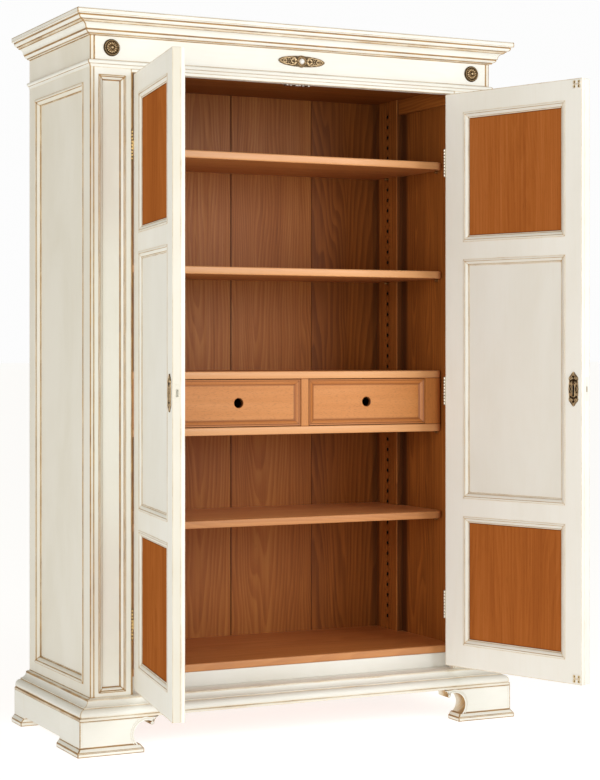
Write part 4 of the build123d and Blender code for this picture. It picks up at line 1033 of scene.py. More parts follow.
def shelf(piece, pts, z0, z1, r=3.0, mats=(0, 1), tone=0.4, lip=5.5):
    """board with a rounded front edge; the lipping on the front edge is its own strip of wood"""
    bm = bmesh.new()
    lay = bm.verts.layers.float.new("glaze_and_shade")
    vs = [bm.verts.new((a, b_, z0)) for a, b_ in pts]
    f = bm.faces.new(vs)
    ext = bmesh.ops.extrude_face_region(bm, geom=[f])
    for v in [q for q in ext["geom"] if isinstance(q, bmesh.types.BMVert)]:
        v.co.z = z1
    bmesh.ops.recalc_face_normals(bm, faces=bm.faces)
    bm.normal_update()
    ym = min(b_ for a, b_ in pts)
    front = [e for e in bm.edges if abs(e.verts[0].co.z - e.verts[1].co.z) < 1e-6 and max(e.verts[0].co.y, e.verts[1].co.y) < 353]
    bmesh.ops.bevel(bm, geom=front, offset=r, segments=4, profile=0.5, affect="EDGES", clamp_overlap=True)
    bm.normal_update()
    big = [q for q in bm.faces if abs(q.normal.z) > 0.999 and len(q.verts) > 8]
    for q in big:
        bmesh.ops.inset_region(bm, faces=[q], thickness=lip, use_even_offset=True)
        for v in q.verts:
            v[lay] = 0.0
    for v in bm.verts:
        v[lay] = 1.0
    for q in big:
        for v in q.verts:
            v[lay] = 0.0
    bm.faces.index_update()
    bm.verts.index_update()
    k = gco_for("x")
    kk = seed()
    vs = [tuple(v.co) for v in bm.verts]
    gl = [v[lay] for v in bm.verts]
    body_f, lip_f = [], []
    bigset = set(q.index for q in big)
    for q in bm.faces:
        c = q.calc_center_median()
        (lip_f if (c.y < ym + 40 and q.index not in bigset) else body_f).append(tuple(v.index for v in q.verts))
    piece.add(vs, body_f, gl, [k(q) for q in vs], tone, mats[0])
    piece.add(vs, lip_f, gl, [(q[0] * 0.001 + kk, (q[1] * 0.4 + q[2]) * 0.001, kk) for q in vs], tone, mats[1])
    bm.free()


WOOD_LIP = wood("wood_lipping", srgb("#B4723E"), srgb("#DC985C"), srgb("#F0B67C"), rough=0.34, cath=0.0, edge=(srgb("#EDBB88"), 0.25))
# lighter copy of the shelf wood for the lowest shelf, which lies in shade: painted light
WOOD_SHELF_LIT = wood("wood_shelf_painted_light", srgb("#C07444"), srgb("#E29C60"), srgb("#F2B87C"), rough=0.36, cath=0.6, edge=(srgb("#E8B37C"), 0.25))
WMATS = [WOOD_SHELF, WOOD_LIP]

p = Piece("v_ceiling_panel")
block(p, -XI, XI, 22, BACK, CEIL0, CEIL1, r=0.4, inset=3, grain="x", glaze_and_shade=0.4, tone=0.6)
p.build("carcass", [WOOD_BACK], ["ceiling_panel"], "brown_wood")
p = Piece("v_floor_panel")
shelf(p, board_outline(-WALL, WALL, 43, BACK, SH_R), FLOOR0, FLOOR1, r=4.0, tone=0.35)
p.build("carcass", [WOOD_SHELF, WOOD_SHELF], ["floor_panel"], "brown_wood", angle=50)
for name, n_ in (("shelf_lower", 0), ("shelf_middle", 22), ("shelf_upper", 32)):
    p = Piece("v_" + name)
    zc = HOLE0 + n_ * PITCH + 4.0
    shelf(p, board_outline(-EDGE, EDGE, SH_Y, BACK - 1, SH_R, True), zc, zc + SH_T, r=3.5, tone=0.4)
    p.build("carcass", WMATS if n_ else [WOOD_SHELF_LIT, WOOD_SHELF], [name], "brown_wood", angle=50)
for name, zz in (("drawer_unit_bottom", UB), ("drawer_unit_top", UT)):
    p = Piece("v_" + name)
    shelf(p, board_outline(-EDGE, EDGE, SH_Y, BACK - 1, UR, True), zz[0], zz[1], r=3.5, tone=0.4)
    p.build("carcass", WMATS, [name], "brown_wood", angle=50)

# shelf pins: collar and rounded head
p = Piece("v_shelf_pins")
for s in (-1, 1):
    for n_ in (0, 8, 22, 32):
        zc = HOLE0 + n_ * PITCH
        for x0, yc in ((s * (WALL - 11), ROW_Y), (s * (WALL + 9), 140.0)):
            prof_ = [(0, 0), (3.95, 0), (3.95, 9.2), (3.95, 9.4), (3.95, 17.5), (3.4, 19.2), (2.0, 20.0), (0, 20.0)]
            n = 14
            vs, fs = [], []
            for r_, d in prof_:
                for i in range(n):
                    t = 2 * math.pi * i / n
                    vs.append((x0 - s * d, yc + r_ * math.cos(t), zc + r_ * math.sin(t)))
            for q in range(len(prof_) - 1):
                for i in range(n):
                    j = (i + 1) % n
                    fs.append((q * n + i, q * n + j, (q + 1) * n + j, (q + 1) * n + i))
            p.add(vs, fs, [0.2] * len(vs))
p.build("carcass", [BRASS], ["shelf_pins"], "brass", angle=40)

# uprights of the drawer unit
p = Piece("v_drawer_uprights")
block(p, DIV[0], DIV[1], SH_Y, BACK - 1, UB[1], UT[0], r=0.8, inset=3, grain="z", tone=0.4, glaze_and_shade=0.5)
q_ = UR * (1 - 1 / math.sqrt(2))


def end_block(s, xin):
    pts = [(xin, SH_Y), (EDGE - UR, SH_Y)] + arc((EDGE - UR, SH_Y), (EDGE - q_, SH_Y + q_), (EDGE, SH_Y + UR), 12)
    pts += [(EDGE, SH_Y + UR + 24), (xin, SH_Y + UR + 24)]
    k = gco_for("z")
    z0, z1 = UB[1], UT[0]
    n = len(pts)
    v = [(s * a, b_, z) for z in (z0, z0 + 3, z1 - 3, z1) for a, b_ in pts]
    g_ = [0.8] * n + [0.0] * (2 * n) + [0.8] * n
    fs = [(r_ * n + i, r_ * n + (i + 1) % n, (r_ + 1) * n + (i + 1) % n, (r_ + 1) * n + i) for r_ in range(3) for i in range(n)]
    fs += [tuple(range(n)), tuple(range(3 * n, 4 * n))]
    # the end blocks take a darker tone than the drawers: painted shade on the set-back uprights
    p.add(v, fs, g_, [k(q) for q in v], 0.75, 0)


end_block(1, 456.0)
end_block(-1, 326.0)
block(p, 456, 472, SH_Y + UR + 24, BACK - 8, UB[1], UT[0], r=0.5, grain="y", tone=0.5, glaze_and_shade=0.3)
block(p, -342, -326, SH_Y + UR + 24, BACK - 8, UB[1], UT[0], r=0.5, grain="y", tone=0.5, glaze_and_shade=0.3)
p.build("carcass", [WOOD_DRAWER], ["drawer_unit_uprights"], "brown_wood", angle=40)

# -------------------------------------------------------------------- drawers
DR_PROF = profile([(0.0, -20.0, 0.0), (0.0, -0.8, 0.9), (0.8, 0.0, 0.35), (3.6, 0.0, 0.25), (4.6, -0.6, 0.95), (5.8, -1.8, 0.3),
                   ("arc", (9.6, -3.4), (13.4, -6.2, 0.35)), (14.2, -6.5, 0.9), (16.0, -7.2, 0.1), (17.0, -8.0, 1.0)], 1.6)
for side, (x0, x1) in DRAWERS.items():
    y0 = SH_Y + 0.5
    z0, z1 = DZ
    p = Piece("v_" + side + "_drawer_front")
    # horizontal runs of the moulding follow the length, as on the real mitred frame
    ring(p, x0, x1, z0, z1, DR_PROF, lambda a, b_, h, y0=y0: (a, y0 - h, b_), tone=0.8, mitre=0.5)
    k = gco_for("x")
    xa, xb, za, zb = x0 + 17, x1 - 17, z0 + 17, z1 - 17
    xc, zc = (x0 + x1) / 2, (z0 + z1) / 2
    n = 40
    R = 13.5
    sq, rim, hole = [], [], []
    for i in range(n):
        t = 2 * math.pi * i / n
        m_ = max(abs(math.cos(t)), abs(math.sin(t)))
        sq.append((xc + 26 * math.cos(t) / m_, y0 + 8, zc + 26 * math.sin(t) / m_))
        rim.append((xc + (R + 1.6) * math.cos(t), y0 + 8, zc + (R + 1.6) * math.sin(t)))
        hole.append((xc + R * math.cos(t), y0 + 9.2, zc + R * math.sin(t)))
    inner = [(a, y0 + 20, c) for a, b_, c in hole]
    v = sq + rim + hole + inner
    fs = [(r_ * n + i, r_ * n + (i + 1) % n, (r_ + 1) * n + (i + 1) % n, (r_ + 1) * n + i) for r_ in range(3) for i in range(n)]
    p.add(v, fs, [0.0] * n + [0.15] * n + [0.9] * n + [1.0] * n, [k(q) for q in v], 0.45)
    xs = [xa, xa + 5, xc - 26, xc + 26, xb - 5, xb]
    zz = [za, za + 5, zc - 26, zc + 26, zb - 5, zb]
    v, g_, fs = [], [], []
    for j, z in enumerate(zz):
        for i, x in enumerate(xs):
            v.append((x, y0 + 8, z))
            g_.append(0.55 if i in (0, 5) or j in (0, 5) else 0.0)
    for j in range(5):
        for i in range(5):
            if not (i == 2 and j == 2):
                fs.append((j * 6 + i, j * 6 + i + 1, (j + 1) * 6 + i + 1, (j + 1) * 6 + i))
    p.add(v, fs, g_, [k(q) for q in v], 0.45)
    # back of the front, round the finger hole
    sqb = [(xc + 26 * math.cos(2 * math.pi * i / n) / max(abs(math.cos(2 * math.pi * i / n)), abs(math.sin(2 * math.pi * i / n))), y0 + 20,
            zc + 26 * math.sin(2 * math.pi * i / n) / max(abs(math.cos(2 * math.pi * i / n)), abs(math.sin(2 * math.pi * i / n)))) for i in range(n)]
    v = sqb + inner
    p.add(v, [(i, (i + 1) % n, n + (i + 1) % n, n + i) for i in range(n)], [0.0] * n + [0.9] * n, [k(q) for q in v], 0.45)
    xs, zz = [x0, xc - 26, xc + 26, x1], [z0, zc - 26, zc + 26, z1]
    v = [(x, y0 + 20, z) for z in zz for x in xs]
    p.add(v, [(j * 4 + i, j * 4 + i + 1, (j + 1) * 4 + i + 1, (j + 1) * 4 + i) for j in range(3) for i in range(3) if not (i == 1 and j == 1)],
          None, [k(q) for q in v], 0.45)
    p.build(side + "_drawer", [WOOD_DRAWER], [side + "_drawer_front"], "orange_wood")
    p = Piece("v_" + side + "_drawer_box")
    bx0, bx1, yb0, yb1, zt = x0 + 3, x1 - 3, y0 + 20, 462.0, z1 - 10
    block(p, bx0, bx0 + 12, yb0, yb1, z0 - 1.2, zt, r=1.0, inset=3, grain="y", glaze_and_shade=0.3)
    block(p, bx1 - 12, bx1, yb0, yb1, z0 - 1.2, zt, r=1.0, inset=3, grain="y", glaze_and_shade=0.3)
    block(p, bx0 + 12, bx1 - 12, yb1 - 12, yb1, z0 + 14, zt, r=1.0, inset=3, grain="x", glaze_and_shade=0.3)
    block(p, bx0 + 12, bx1 - 12, yb0, yb1, z0 + 7, z0 + 13, r=0.4, inset=2, grain="x", glaze_and_shade=0.3)
    p.build(side + "_drawer", [WOOD_RAW], [side + "_drawer_box"], "raw_wood")

# ---------------------------------------------------------------------- doors
DOOR_PROF = profile([(0.0, -0.6, 0.6), (0.0, 0.5, 0.55), (1.0, 0.8, 0.15), (4.2, 0.8, 0.15), (5.4, 0.0, 0.75), (6.4, -0.8, 0.2),
                     ("arc", (10.4, -2.2), (13.2, -4.8, 0.2)), (13.6, -5.2, 0.7), (15.8, -5.6, 0.2), (16.6, -6.0, 0.35), (17.0, -7.0, 0.8)], 1.6)
for s, side in ((-1, "left"), (1, "right")):
    body = side + "_door"
    xf = swung(s)
    lock = D_W - ST_L

    def place(q, s=s):
        return (s * (D_E - q[0]), D_Y + q[2], q[1])
    p = Piece("v_" + side + "_door_frame")
    us = clip(near([0, ST_H, lock, D_W - 3, D_W], 3.8), 0, D_W)
    zl = [D_Z0, D_Z1] + [q for f in FIELDS for q in f]
    ws = clip(near(zl, 3.8), D_Z0, D_Z1)
    if s < 0:
        ws += [LOCK_Z - 22, LOCK_Z - 9, LOCK_Z + 9, LOCK_Z + 22]
        us += [D_W - 12, D_W - 1.5]
        ts = [0, 3, 6, 9, 15, 18, 20, 29, 32]
    else:
        ws += [LOCK_Z - 32, LOCK_Z + 32]
        us += [D_W - 2.5]
        ts = [0, 3, 5, 19, 20, 29, 32]

    def solid(u, w, t, s=s):
        if ST_H < u < lock and any(a < w < b_ for a, b_ in FIELDS):
            return False
        if u > D_W - 3 and t > 20:
            return False
        if s < 0 and u > D_W - 12 and abs(w - LOCK_Z) < 9 and 9 < t < 15:
            return False
        if s < 0 and u > D_W - 1.5 and abs(w - LOCK_Z) < 22 and 6 < t < 18:
            return False
        if s > 0 and u > D_W - 2.5 and abs(w - LOCK_Z) < 32 and 5 < t < 19:
            return False
        return True
    feats = []
    for t in (0, 32):
        k_ = 0.8
        for a, b_ in FIELDS:
            feats += rect_feats(ST_H, lock, a, b_, t, 0.45)
        uR = D_W if t == 0 else D_W - 3
        feats += [((0, D_Z0, t), (0, D_Z1, t), 0.4), ((uR, D_Z0, t), (uR, D_Z1, t), 0.42),
                  ((0, D_Z0, t), (D_W, D_Z0, t), 0.5), ((0, D_Z1, t), (D_W, D_Z1, t), 0.5)]
    feats += [((D_W - 3, D_Z0, 20), (D_W - 3, D_Z1, 20), 0.5 if s < 0 else 0.25), ((D_W, D_Z0, 20), (D_W, D_Z1, 20), 0.3 if s < 0 else 0.12)]
    vox(p, us, ws, ts, solid, feats, place, gco_for("z"), r=1.2, reach=3.0, core=1.2,
        bevel=lambda u, w, t: (u < 0.1 or u > D_W - 3.1 or w < D_Z0 + 0.1 or w > D_Z1 - 0.1)
        and not (abs(w - LOCK_Z) < 33 and 4.9 < t < 19.1 and u > D_W - 12.1))
    xe = s * (D_E - D_W)
    # the left door's leading edge takes the darker cream copy: painted shade
    p.m = [1 if s < 0 and all(abs(p.v[i][0] - xe) < 0.3 for i in f) else 0 for f in p.f]
    p.build(body, [CREAM_DOOR_LIT, CREAM_EDGE_SHADED], [side + "_door_frame"], "cream_paint", xf)
    p = Piece("v_" + side + "_door_mouldings")
    xa, xb = sorted((s * (D_E - ST_H), s * (D_E - lock)))
    for a, b_ in FIELDS:
        ring(p, xa, xb, a, b_, DOOR_PROF, lambda u, w, h: (u, D_Y - h, w), mitre=0.45)
        ring(p, xa, xb, a, b_, DOOR_PROF, lambda u, w, h: (u, D_Y + D_T + h, w), mitre=0.45)
    p.build(body, [CREAM], [side + "_door_mouldings"], "cream_paint", xf, gk=1.18)
    p = Piece("v_" + side + "_door_wood_panels")
    for a, b_ in (FIELDS[0], FIELDS[2]):
        us = [xa, xa + 17, xa + 21, xb - 21, xb - 17, xb]
        ws = [a, a + 17, a + 21, b_ - 21, b_ - 17, b_]
        vox(p, us, ws, [7, 25], lambda u, w, t: True, rect_feats(xa + 17, xb - 17, a + 17, b_ - 17, 7, 0.9) + rect_feats(xa + 17, xb - 17, a + 17, b_ - 17, 25, 0.9),
            lambda q: (q[0], D_Y + q[2], q[1]), gco_for("z"), r=0, tone=random.uniform(0.4, 0.6), reach=3.9, core=0.5)
    p.build(body, [WOOD_DOOR], [side + "_door_wood_panels"], "brown_wood", xf)
    p = Piece("v_" + side + "_door_middle_panel")
    a, b_ = FIELDS[1]
    us = [xa, xa + 17, xa + 21, xb - 21, xb - 17, xb]
    ws = [a, a + 17, a + 21, b_ - 21, b_ - 17, b_]
    vox(p, us, ws, [7, 25], lambda u, w, t: True, rect_feats(xa + 17, xb - 17, a + 17, b_ - 17, 7, 0.6) + rect_feats(xa + 17, xb - 17, a + 17, b_ - 17, 25, 0.6),
        lambda q: (q[0], D_Y + q[2], q[1]), gco_for("z"), r=0, reach=3.9, core=0.5)
    p.build(body, [CREAM_PLAIN], [side + "_door_middle_panel"], "cream_paint", xf)

# ------------------------------------------------------------------- hardware
def lathe(piece, prof, cx, cy, n=20, glaze_and_shade=None, tone=0.5, mat=0, axis="z", cz=0.0):
    """turned piece; prof is (r, along)"""
    vs, gl, fs = [], [], []
    prof = [(0.0 if q[0] < 0.01 else q[0], q[1]) for q in prof]
    for i, q in enumerate(prof):
        for j in range(n):
            t = 2 * math.pi * j / n
            c, sn = q[0] * math.cos(t), q[0] * math.sin(t)
            if axis == "z":
                vs.append((cx + c, cy + sn, q[1]))
            elif axis == "y":
                vs.append((cx + c, q[1], cz + sn))
            else:
                vs.append((q[1], cy + c, cz + sn))
            gl.append(glaze_and_shade[i] if glaze_and_shade else 0.2)
    for i in range(len(prof) - 1):
        for j in range(n):
            fs.append((i * n + j, i * n + (j + 1) % n, (i + 1) * n + (j + 1) % n, (i + 1) * n + j))
    if prof[0][0] > 1e-6:
        fs.append(tuple(range(n)))
    if prof[-1][0] > 1e-6:
        fs.append(tuple(range((len(prof) - 1) * n, len(prof) * n)))
    piece.add(vs, fs, gl, None, tone, mat)


def beads(za, zb, r, n, pinch=0.62):
    """profile of n beads between two heights"""
    prof, gl = [], []
    L = (zb - za) / n
    m = 6
    for i in range(n):
        for j in range(m + 1):
            if j == 0 and i:
                continue
            t = j / m
            q = math.sin(math.pi * t)
            prof.append((r * (pinch + (1 - pinch) * math.sqrt(q)), za + L * (i + t)))
            gl.append(1.0 if j in (0, m) else max(0.0, 0.75 - q))
    return prof, gl


def leaf_plate(piece, x0, x1, y0, y1, z0, z1, screws, face, s):
    """hinge leaf with countersunk screws seen from one side"""
    block(piece, x0, x1, y0, y1, z0, z1, r=0.4, inset=1.2, glaze_and_shade=0.6)
    xf_ = x1 if face > 0 else x0
    for yc, zc in screws:
        lathe(piece, [(0.001, xf_ - face * 0.25), (1.1, xf_ - face * 0.12), (2.4, xf_ + face * 0.12), (2.9, xf_ - face * 0.3)], 0, yc, 16,
              [0.9, 0.5, 0.1, 1.0], axis="x", cz=zc)


KN_LIGHT = metal("hinge_nickel", srgb("#5E5546"), srgb("#E9E2D2"), 0.24)
KN_BRASS = metal("hinge_brass", srgb("#4A3213"), srgb("#DDB878"), 0.27)
p = Piece("v_hinge_frame_leaves")
q = Piece("v_hinge_pins")
for s, zs in HZ.items():
    m_ = 0 if s < 0 else 1
    for zc in zs:
        za, zb = zc - 40.0, zc + 40.0
        x0, x1 = sorted((s * (PIL_IN - 1.9), s * PIL_IN))
        n0 = len(p.m)
        leaf_plate(p, x0, x1, 9.6, 27.0, za, zb, [(18.5, zc - 28), (18.5, zc), (18.5, zc + 28)], -s, s)
        for k0, k1 in ((za, zc - 13.4), (zc + 13.4, zb)):
            a, b_ = sorted((s * (PIL_IN - 1.9), s * (PIL_IN - 0.4)))
            block(p, a, b_, HY, 10.6, k0, k1, r=0.2, inset=0.6, glaze_and_shade=0.6)
            pr, gl = beads(k0 + 0.2, k1 - 0.2, 3.6, 3)
            lathe(p, pr, s * HX, HY, 18, gl)
        for i in range(n0, len(p.m)):
            p.m[i] = m_
        n0 = len(q.m)
        for sg, ze in ((1, zb), (-1, za)):
            lathe(q, [(1.9, ze - sg * 0.2), (3.1, ze + sg * 0.1), (3.2, ze + sg * 0.7), (2.2, ze + sg * 1.1), (2.7, ze + sg * 1.7), (1.9, ze + sg * 2.4), (0.001, ze + sg * 2.6)],
                  s * HX, HY, 16, [1.0, 0.3, 0.0, 0.8, 0.0, 0.1, 0.2])
        lathe(q, [(1.85, za), (1.85, zb)], s * HX, HY, 12)
        for i in range(n0, len(q.m)):
            q.m[i] = m_
p.build("carcass", [KN_BRASS, KN_LIGHT], ["hinge_leaves_frame"], "brass", angle=45)
q.build("carcass", [KN_BRASS, KN_LIGHT], ["hinge_pins"], "brass", angle=45)
for s, side in ((-1, "left"), (1, "right")):
    p = Piece("v_" + side + "_door_hinge_leaves")
    for zc in HZ[s]:
        za, zb = zc - 40.0, zc + 40.0
        x0, x1 = sorted((s * D_E, s * (D_E + 2.0)))
        leaf_plate(p, x0, x1, 9.6, 42.0, za, zb, [(22, zc - 28), (32, zc), (22, zc + 28)], s, s)
        a, b_ = sorted((s * (D_E + 0.7), s * (D_E + 2.0)))
        block(p, a, b_, HY, 10.6, zc - 13, zc + 13, r=0.2, inset=0.6, glaze_and_shade=0.6)
        pr, gl = beads(zc - 13.0, zc + 13.0, 3.6, 3)
        lathe(p, pr, s * HX, HY, 18, gl)
        # beaded roll along the free edge of the leaf
        pr, gl = beads(za, zb, 2.1, 9, 0.5)
        lathe(p, pr, s * (D_E + 1.8), 42.9, 14, gl)
    p.build(side + "_door", [KN_BRASS if s < 0 else KN_LIGHT], [side + "_door_hinge_leaves"], "brass", swung(s), angle=45)


def grid_piece(piece, nu, nv, fn, closed_v=False, mat=0):
    """surface from fn(i, j) -> (point, glaze)"""
    vs, gl = [], []
    for i in range(nu):
        for j in range(nv):
            q, g_ = fn(i, j)
            vs.append(q)
            gl.append(g_)
    fs = []
    for i in range(nu - 1):
        for j in range(nv if closed_v else nv - 1):
            k = (j + 1) % nv
            fs.append((i * nv + j, i * nv + k, (i + 1) * nv + k, (i + 1) * nv + j))
    piece.add(vs, fs, gl, None, 0.5, mat)


def smooth(a, b_, x):
    t = max(0.0, min(1.0, (x - a) / (b_ - a)))
    return t * t * (3 - 2 * t)


# rosettes: centre ball, ring of leaves, rope ring, moulded rim
def rosette_h(r, t):
    if r < 4.3:
        return 6.2 + 4.0 * math.sqrt(max(0.0, 1 - (r / 4.35) ** 2)), 0.0 if r < 3.6 else 0.7
    if r < 5.4:
        return 4.6, 1.0
    if r < 7.6:
        return 4.6 + 2.4 * math.sin(math.pi * (r - 5.4) / 2.2), 0.25
    if r < 15.0:
        n = 14
        f = (t * n / (2 * math.pi)) % 1.0 - 0.5
        rc = (r - 11.3) / 3.7
        w = math.sqrt(max(0.0, 1 - rc * rc))
        h = 3.4 + 3.2 * w * math.sqrt(max(0.0, 1 - min(1.0, abs(f) / 0.44) ** 2))
        return h, 1.0 - 0.95 * smooth(3.6, 5.6, h)
    if r < 16.4:
        return 3.6 + 1.6 * math.sin(math.pi * (r - 15.0) / 1.4), 0.5
    if r < 21.6:
        q = (r - 16.4) / 5.2
        n = 28
        ph = math.sin(n * t / 1.0 + q * 5.0)
        h = 3.0 + 4.6 * math.sin(math.pi * q) * (0.72 + 0.28 * ph)
        return h, 1.0 - smooth(4.3, 6.6, h)
    q = (r - 21.6) / 1.4
    return max(0.3, 3.0 * (1 - q * q)), 0.75


for s, nm in ((-1, "a"), (1, "b")):
    if s < 0:
        p = Piece("v_rosettes")
    NR, NT = 62, 168
    rr = [23.0 * i / (NR - 1) for i in range(NR)]

    def fn(i, j, s=s):
        t = 2 * math.pi * j / NT
        r = rr[i]
        h, g_ = rosette_h(r, t)
        if i == 0:
            return (s * 552.0, -h, 1858.0), g_
        if i == NR - 1:
            h = 0.0
        return (s * 552.0 + r * math.cos(t), -h, 1858.0 + r * math.sin(t)), g_
    grid_piece(p, NR, NT, fn, True)
p.build("carcass", [BRONZE], ["rosettes"], "bronze", angle=50)


def ladder(piece, outline, u_of, cx, cz, ht, nw=41, axis="u", hole=None, mat=0):
    """plate whose outline gives the half width at each station; ht(a, b, e) -> (height, glaze)
    with e the distance to the edge.  u_of maps (a along, b across, h) to a point."""
    st = []
    for (a0, w0), (a1, w1) in zip(outline, outline[1:]):
        n = max(1, int(round(abs(a1 - a0) / 0.9)))
        for i in range(n):
            st.append((a0 + (a1 - a0) * i / n, w0 + (w1 - w0) * i / n))
    st.append(outline[-1])
    st = [(-a, w) for a, w in reversed(st) if a > 1e-6] + st
    nv = nw
    vs, gl, fs = [], [], []
    for a, w in st:
        tip = w < 0.2
        for j in range(nv):
            if tip:
                vs.append(u_of(a, 0.0, 0.0))
                gl.append(1.0)
                continue
            b_ = w * (2 * j / (nv - 1) - 1)
            e = min(w - abs(b_), 0.9 * (st[-1][0] - abs(a)) + 0.01)
            h, g_ = ht(a, b_, max(0.0, e))
            if j in (0, nv - 1):
                h = 0.0
                g_ = 1.0
            vs.append(u_of(a, b_, h))
            gl.append(g_)
    n = len(st)
    for i in range(n - 1):
        for j in range(nv - 1):
            a = (st[i][0] + st[i + 1][0]) / 2
            b_ = (st[i][1] + st[i + 1][1]) / 2 * (2 * (j + 0.5) / (nv - 1) - 1)
            if hole and hole(a, b_):
                continue
            fs.append((i * nv + j, i * nv + j + 1, (i + 1) * nv + j + 1, (i + 1) * nv + j))
    piece.add(vs, fs, gl, None, 0.5, mat)


def bump_line(a, b_, pts, w):
    """1 on the polyline, falling to 0 at distance w"""
    best = 1e9
    for (x0, y0), (x1, y1) in zip(pts, pts[1:]):
        dx, dy = x1 - x0, y1 - y0
        L = dx * dx + dy * dy
        t = max(0.0, min(1.0, ((a - x0) * dx + (b_ - y0) * dy) / L)) if L else 0.0
        best = min(best, math.hypot(a - x0 - dx * t, b_ - y0 - dy * t))
    return math.sqrt(max(0.0, 1 - (best / w) ** 2)) if best < w else 0.0


# centre ornament: a leafy cartouche with a beaded ring and a pearl cabochon
ORN_X, ORN_Z = 6.0, 1858.0
CART = [(0.0, 17.0), (4.0, 16.6), (8.0, 15.3), (14.0, 15.0), (22.0, 14.8), (31.0, 13.9), (40.0, 13.0), (50.0, 11.3), (56.0, 10.0), (62.0, 7.8), (66.0, 5.8),
        (69.5, 3.2), (71.0, 0.0)]
SCR1 = spiral(26.0, 0.0, 7.6, 1.2, math.radians(180), 1.5, 26)
SCR2 = spiral(50.0, 0.0, 5.6, 1.0, math.radians(0), -1.4, 22)
LEAF = [(16.0, 3.0), (22.0, 9.6), (31.0, 10.8), (40.0, 8.4), (46.0, 8.8), (54.0, 6.6), (60.0, 4.6), (66.0, 1.0)]
RIBS = [[(33.0 + 6 * i, 1.5), (37.0 + 6 * i, 8.5 - i * 0.9)] for i in range(5)]


def orn_h(a, b_, e):
    r = math.hypot(a, b_)
    aa, bb = abs(a), abs(b_)
    h = 2.0
    h = max(h, 1.2 + 3.0 * bump_line(aa, bb, LEAF, 1.8))
    h = max(h, 1.4 + 2.9 * bump_line(aa, bb, [(u, abs(v_)) for u, v_ in SCR1[:14]], 1.5))
    h = max(h, 1.4 + 2.6 * bump_line(aa, bb, [(u, abs(v_)) for u, v_ in SCR2[:12]], 1.3))
    for rb in RIBS:
        h = max(h, 1.2 + 2.4 * bump_line(aa, bb, rb, 1.2))
    if 10.2 < r < 14.6:
        t = math.atan2(b_, a)
        f = (t * 18 / (2 * math.pi)) % 1.0 - 0.5
        q = math.hypot((r - 12.4) / 2.1, f * 2.1)
        h = 2.2 + 3.2 * math.sqrt(max(0.0, 1 - q * q))
    elif r <= 10.2:
        h = 3.0 + (2.2 * smooth(8.2, 9.0, r) * (1 - smooth(9.6, 10.2, r)))
    if e < 2.2 and r > 14.6:
        h = max(h, 1.0 + 2.9 * math.sin(math.pi * min(1.0, e / 2.2)))
    return min(5.4, h), 0.82 * (1.0 - smooth(2.0, 4.0, h))


p = Piece("v_centre_ornament")
ladder(p, CART, lambda a, b_, h: (ORN_X + a, -h, ORN_Z + b_), 0, 0, orn_h, 45)
p.build("carcass", [BRONZE], ["centre_ornament"], "bronze", angle=60)
p = Piece("v_ornament_cabochon")
pr = [(7.9, -3.0), (7.9, -3.4)] + [(7.7 * math.cos(math.radians(q)), -3.6 - 6.4 * math.sin(math.radians(q))) for q in range(0, 90, 9)] + [(0.001, -10.0)]
lathe(p, pr, ORN_X, 0, 32, [0.0] * len(pr), axis="y", cz=ORN_Z)
p.build("carcass", [PEARL], ["ornament_cabochon"], "bronze", angle=60)

# key plates
SCUT = [(0.0, 16.6), (4.0, 16.0), (10.0, 15.6), (17.0, 15.0), (22.0, 14.5), (27.0, 15.8), (31.0, 15.2), (34.0, 13.0), (37.4, 9.6), (40.0, 7.4), (43.2, 4.6),
        (45.6, 2.6), (47.0, 0.0)]
SC_A = spiral(28.5, 8.2, 5.2, 0.8, math.radians(-90), 1.3, 22)
SC_B = spiral(15.0, 10.2, 3.8, 0.8, math.radians(90), 1.2, 18)
SC_C = [(46.0, 0.0), (40.0, 2.2), (34.0, 6.4)]


def scut_h(a, b_, e):
    aa, bb = abs(a), abs(b_)
    h = 1.5
    h = max(h, 1.2 + 1.8 * bump_line(aa, bb, SC_A, 1.2))
    h = max(h, 1.2 + 1.6 * bump_line(aa, bb, SC_B, 1.1))
    h = max(h, 1.2 + 1.7 * bump_line(aa, bb, SC_C, 1.1))
    h = max(h, 1.2 + 1.3 * bump_line(aa, bb, [(0.0, 13.5), (6.0, 9.0), (13.0, 5.6), (20.0, 5.6)], 1.0))
    if e < 1.8:
        h = max(h, 0.9 + 2.0 * math.sin(math.pi * min(1.0, e / 1.8)))
    # raised collar round the key slot
    q = max(abs(a + 3.5) - 14.0, 0.0)
    d = math.hypot(q, max(0.0, bb - 1.0))
    if 2.4 < d < 4.4:
        h = max(h, 1.6 + 1.3 * math.sin(math.pi * (d - 2.4) / 2.0))
    return min(3.0, h), 1.0 - smooth(1.3, 2.5, h)


def key_hole(a, b_):
    return (abs(b_) < 2.8 and -15.5 < a < 6.5) or math.hypot(a - 6.5, b_) < 3.4


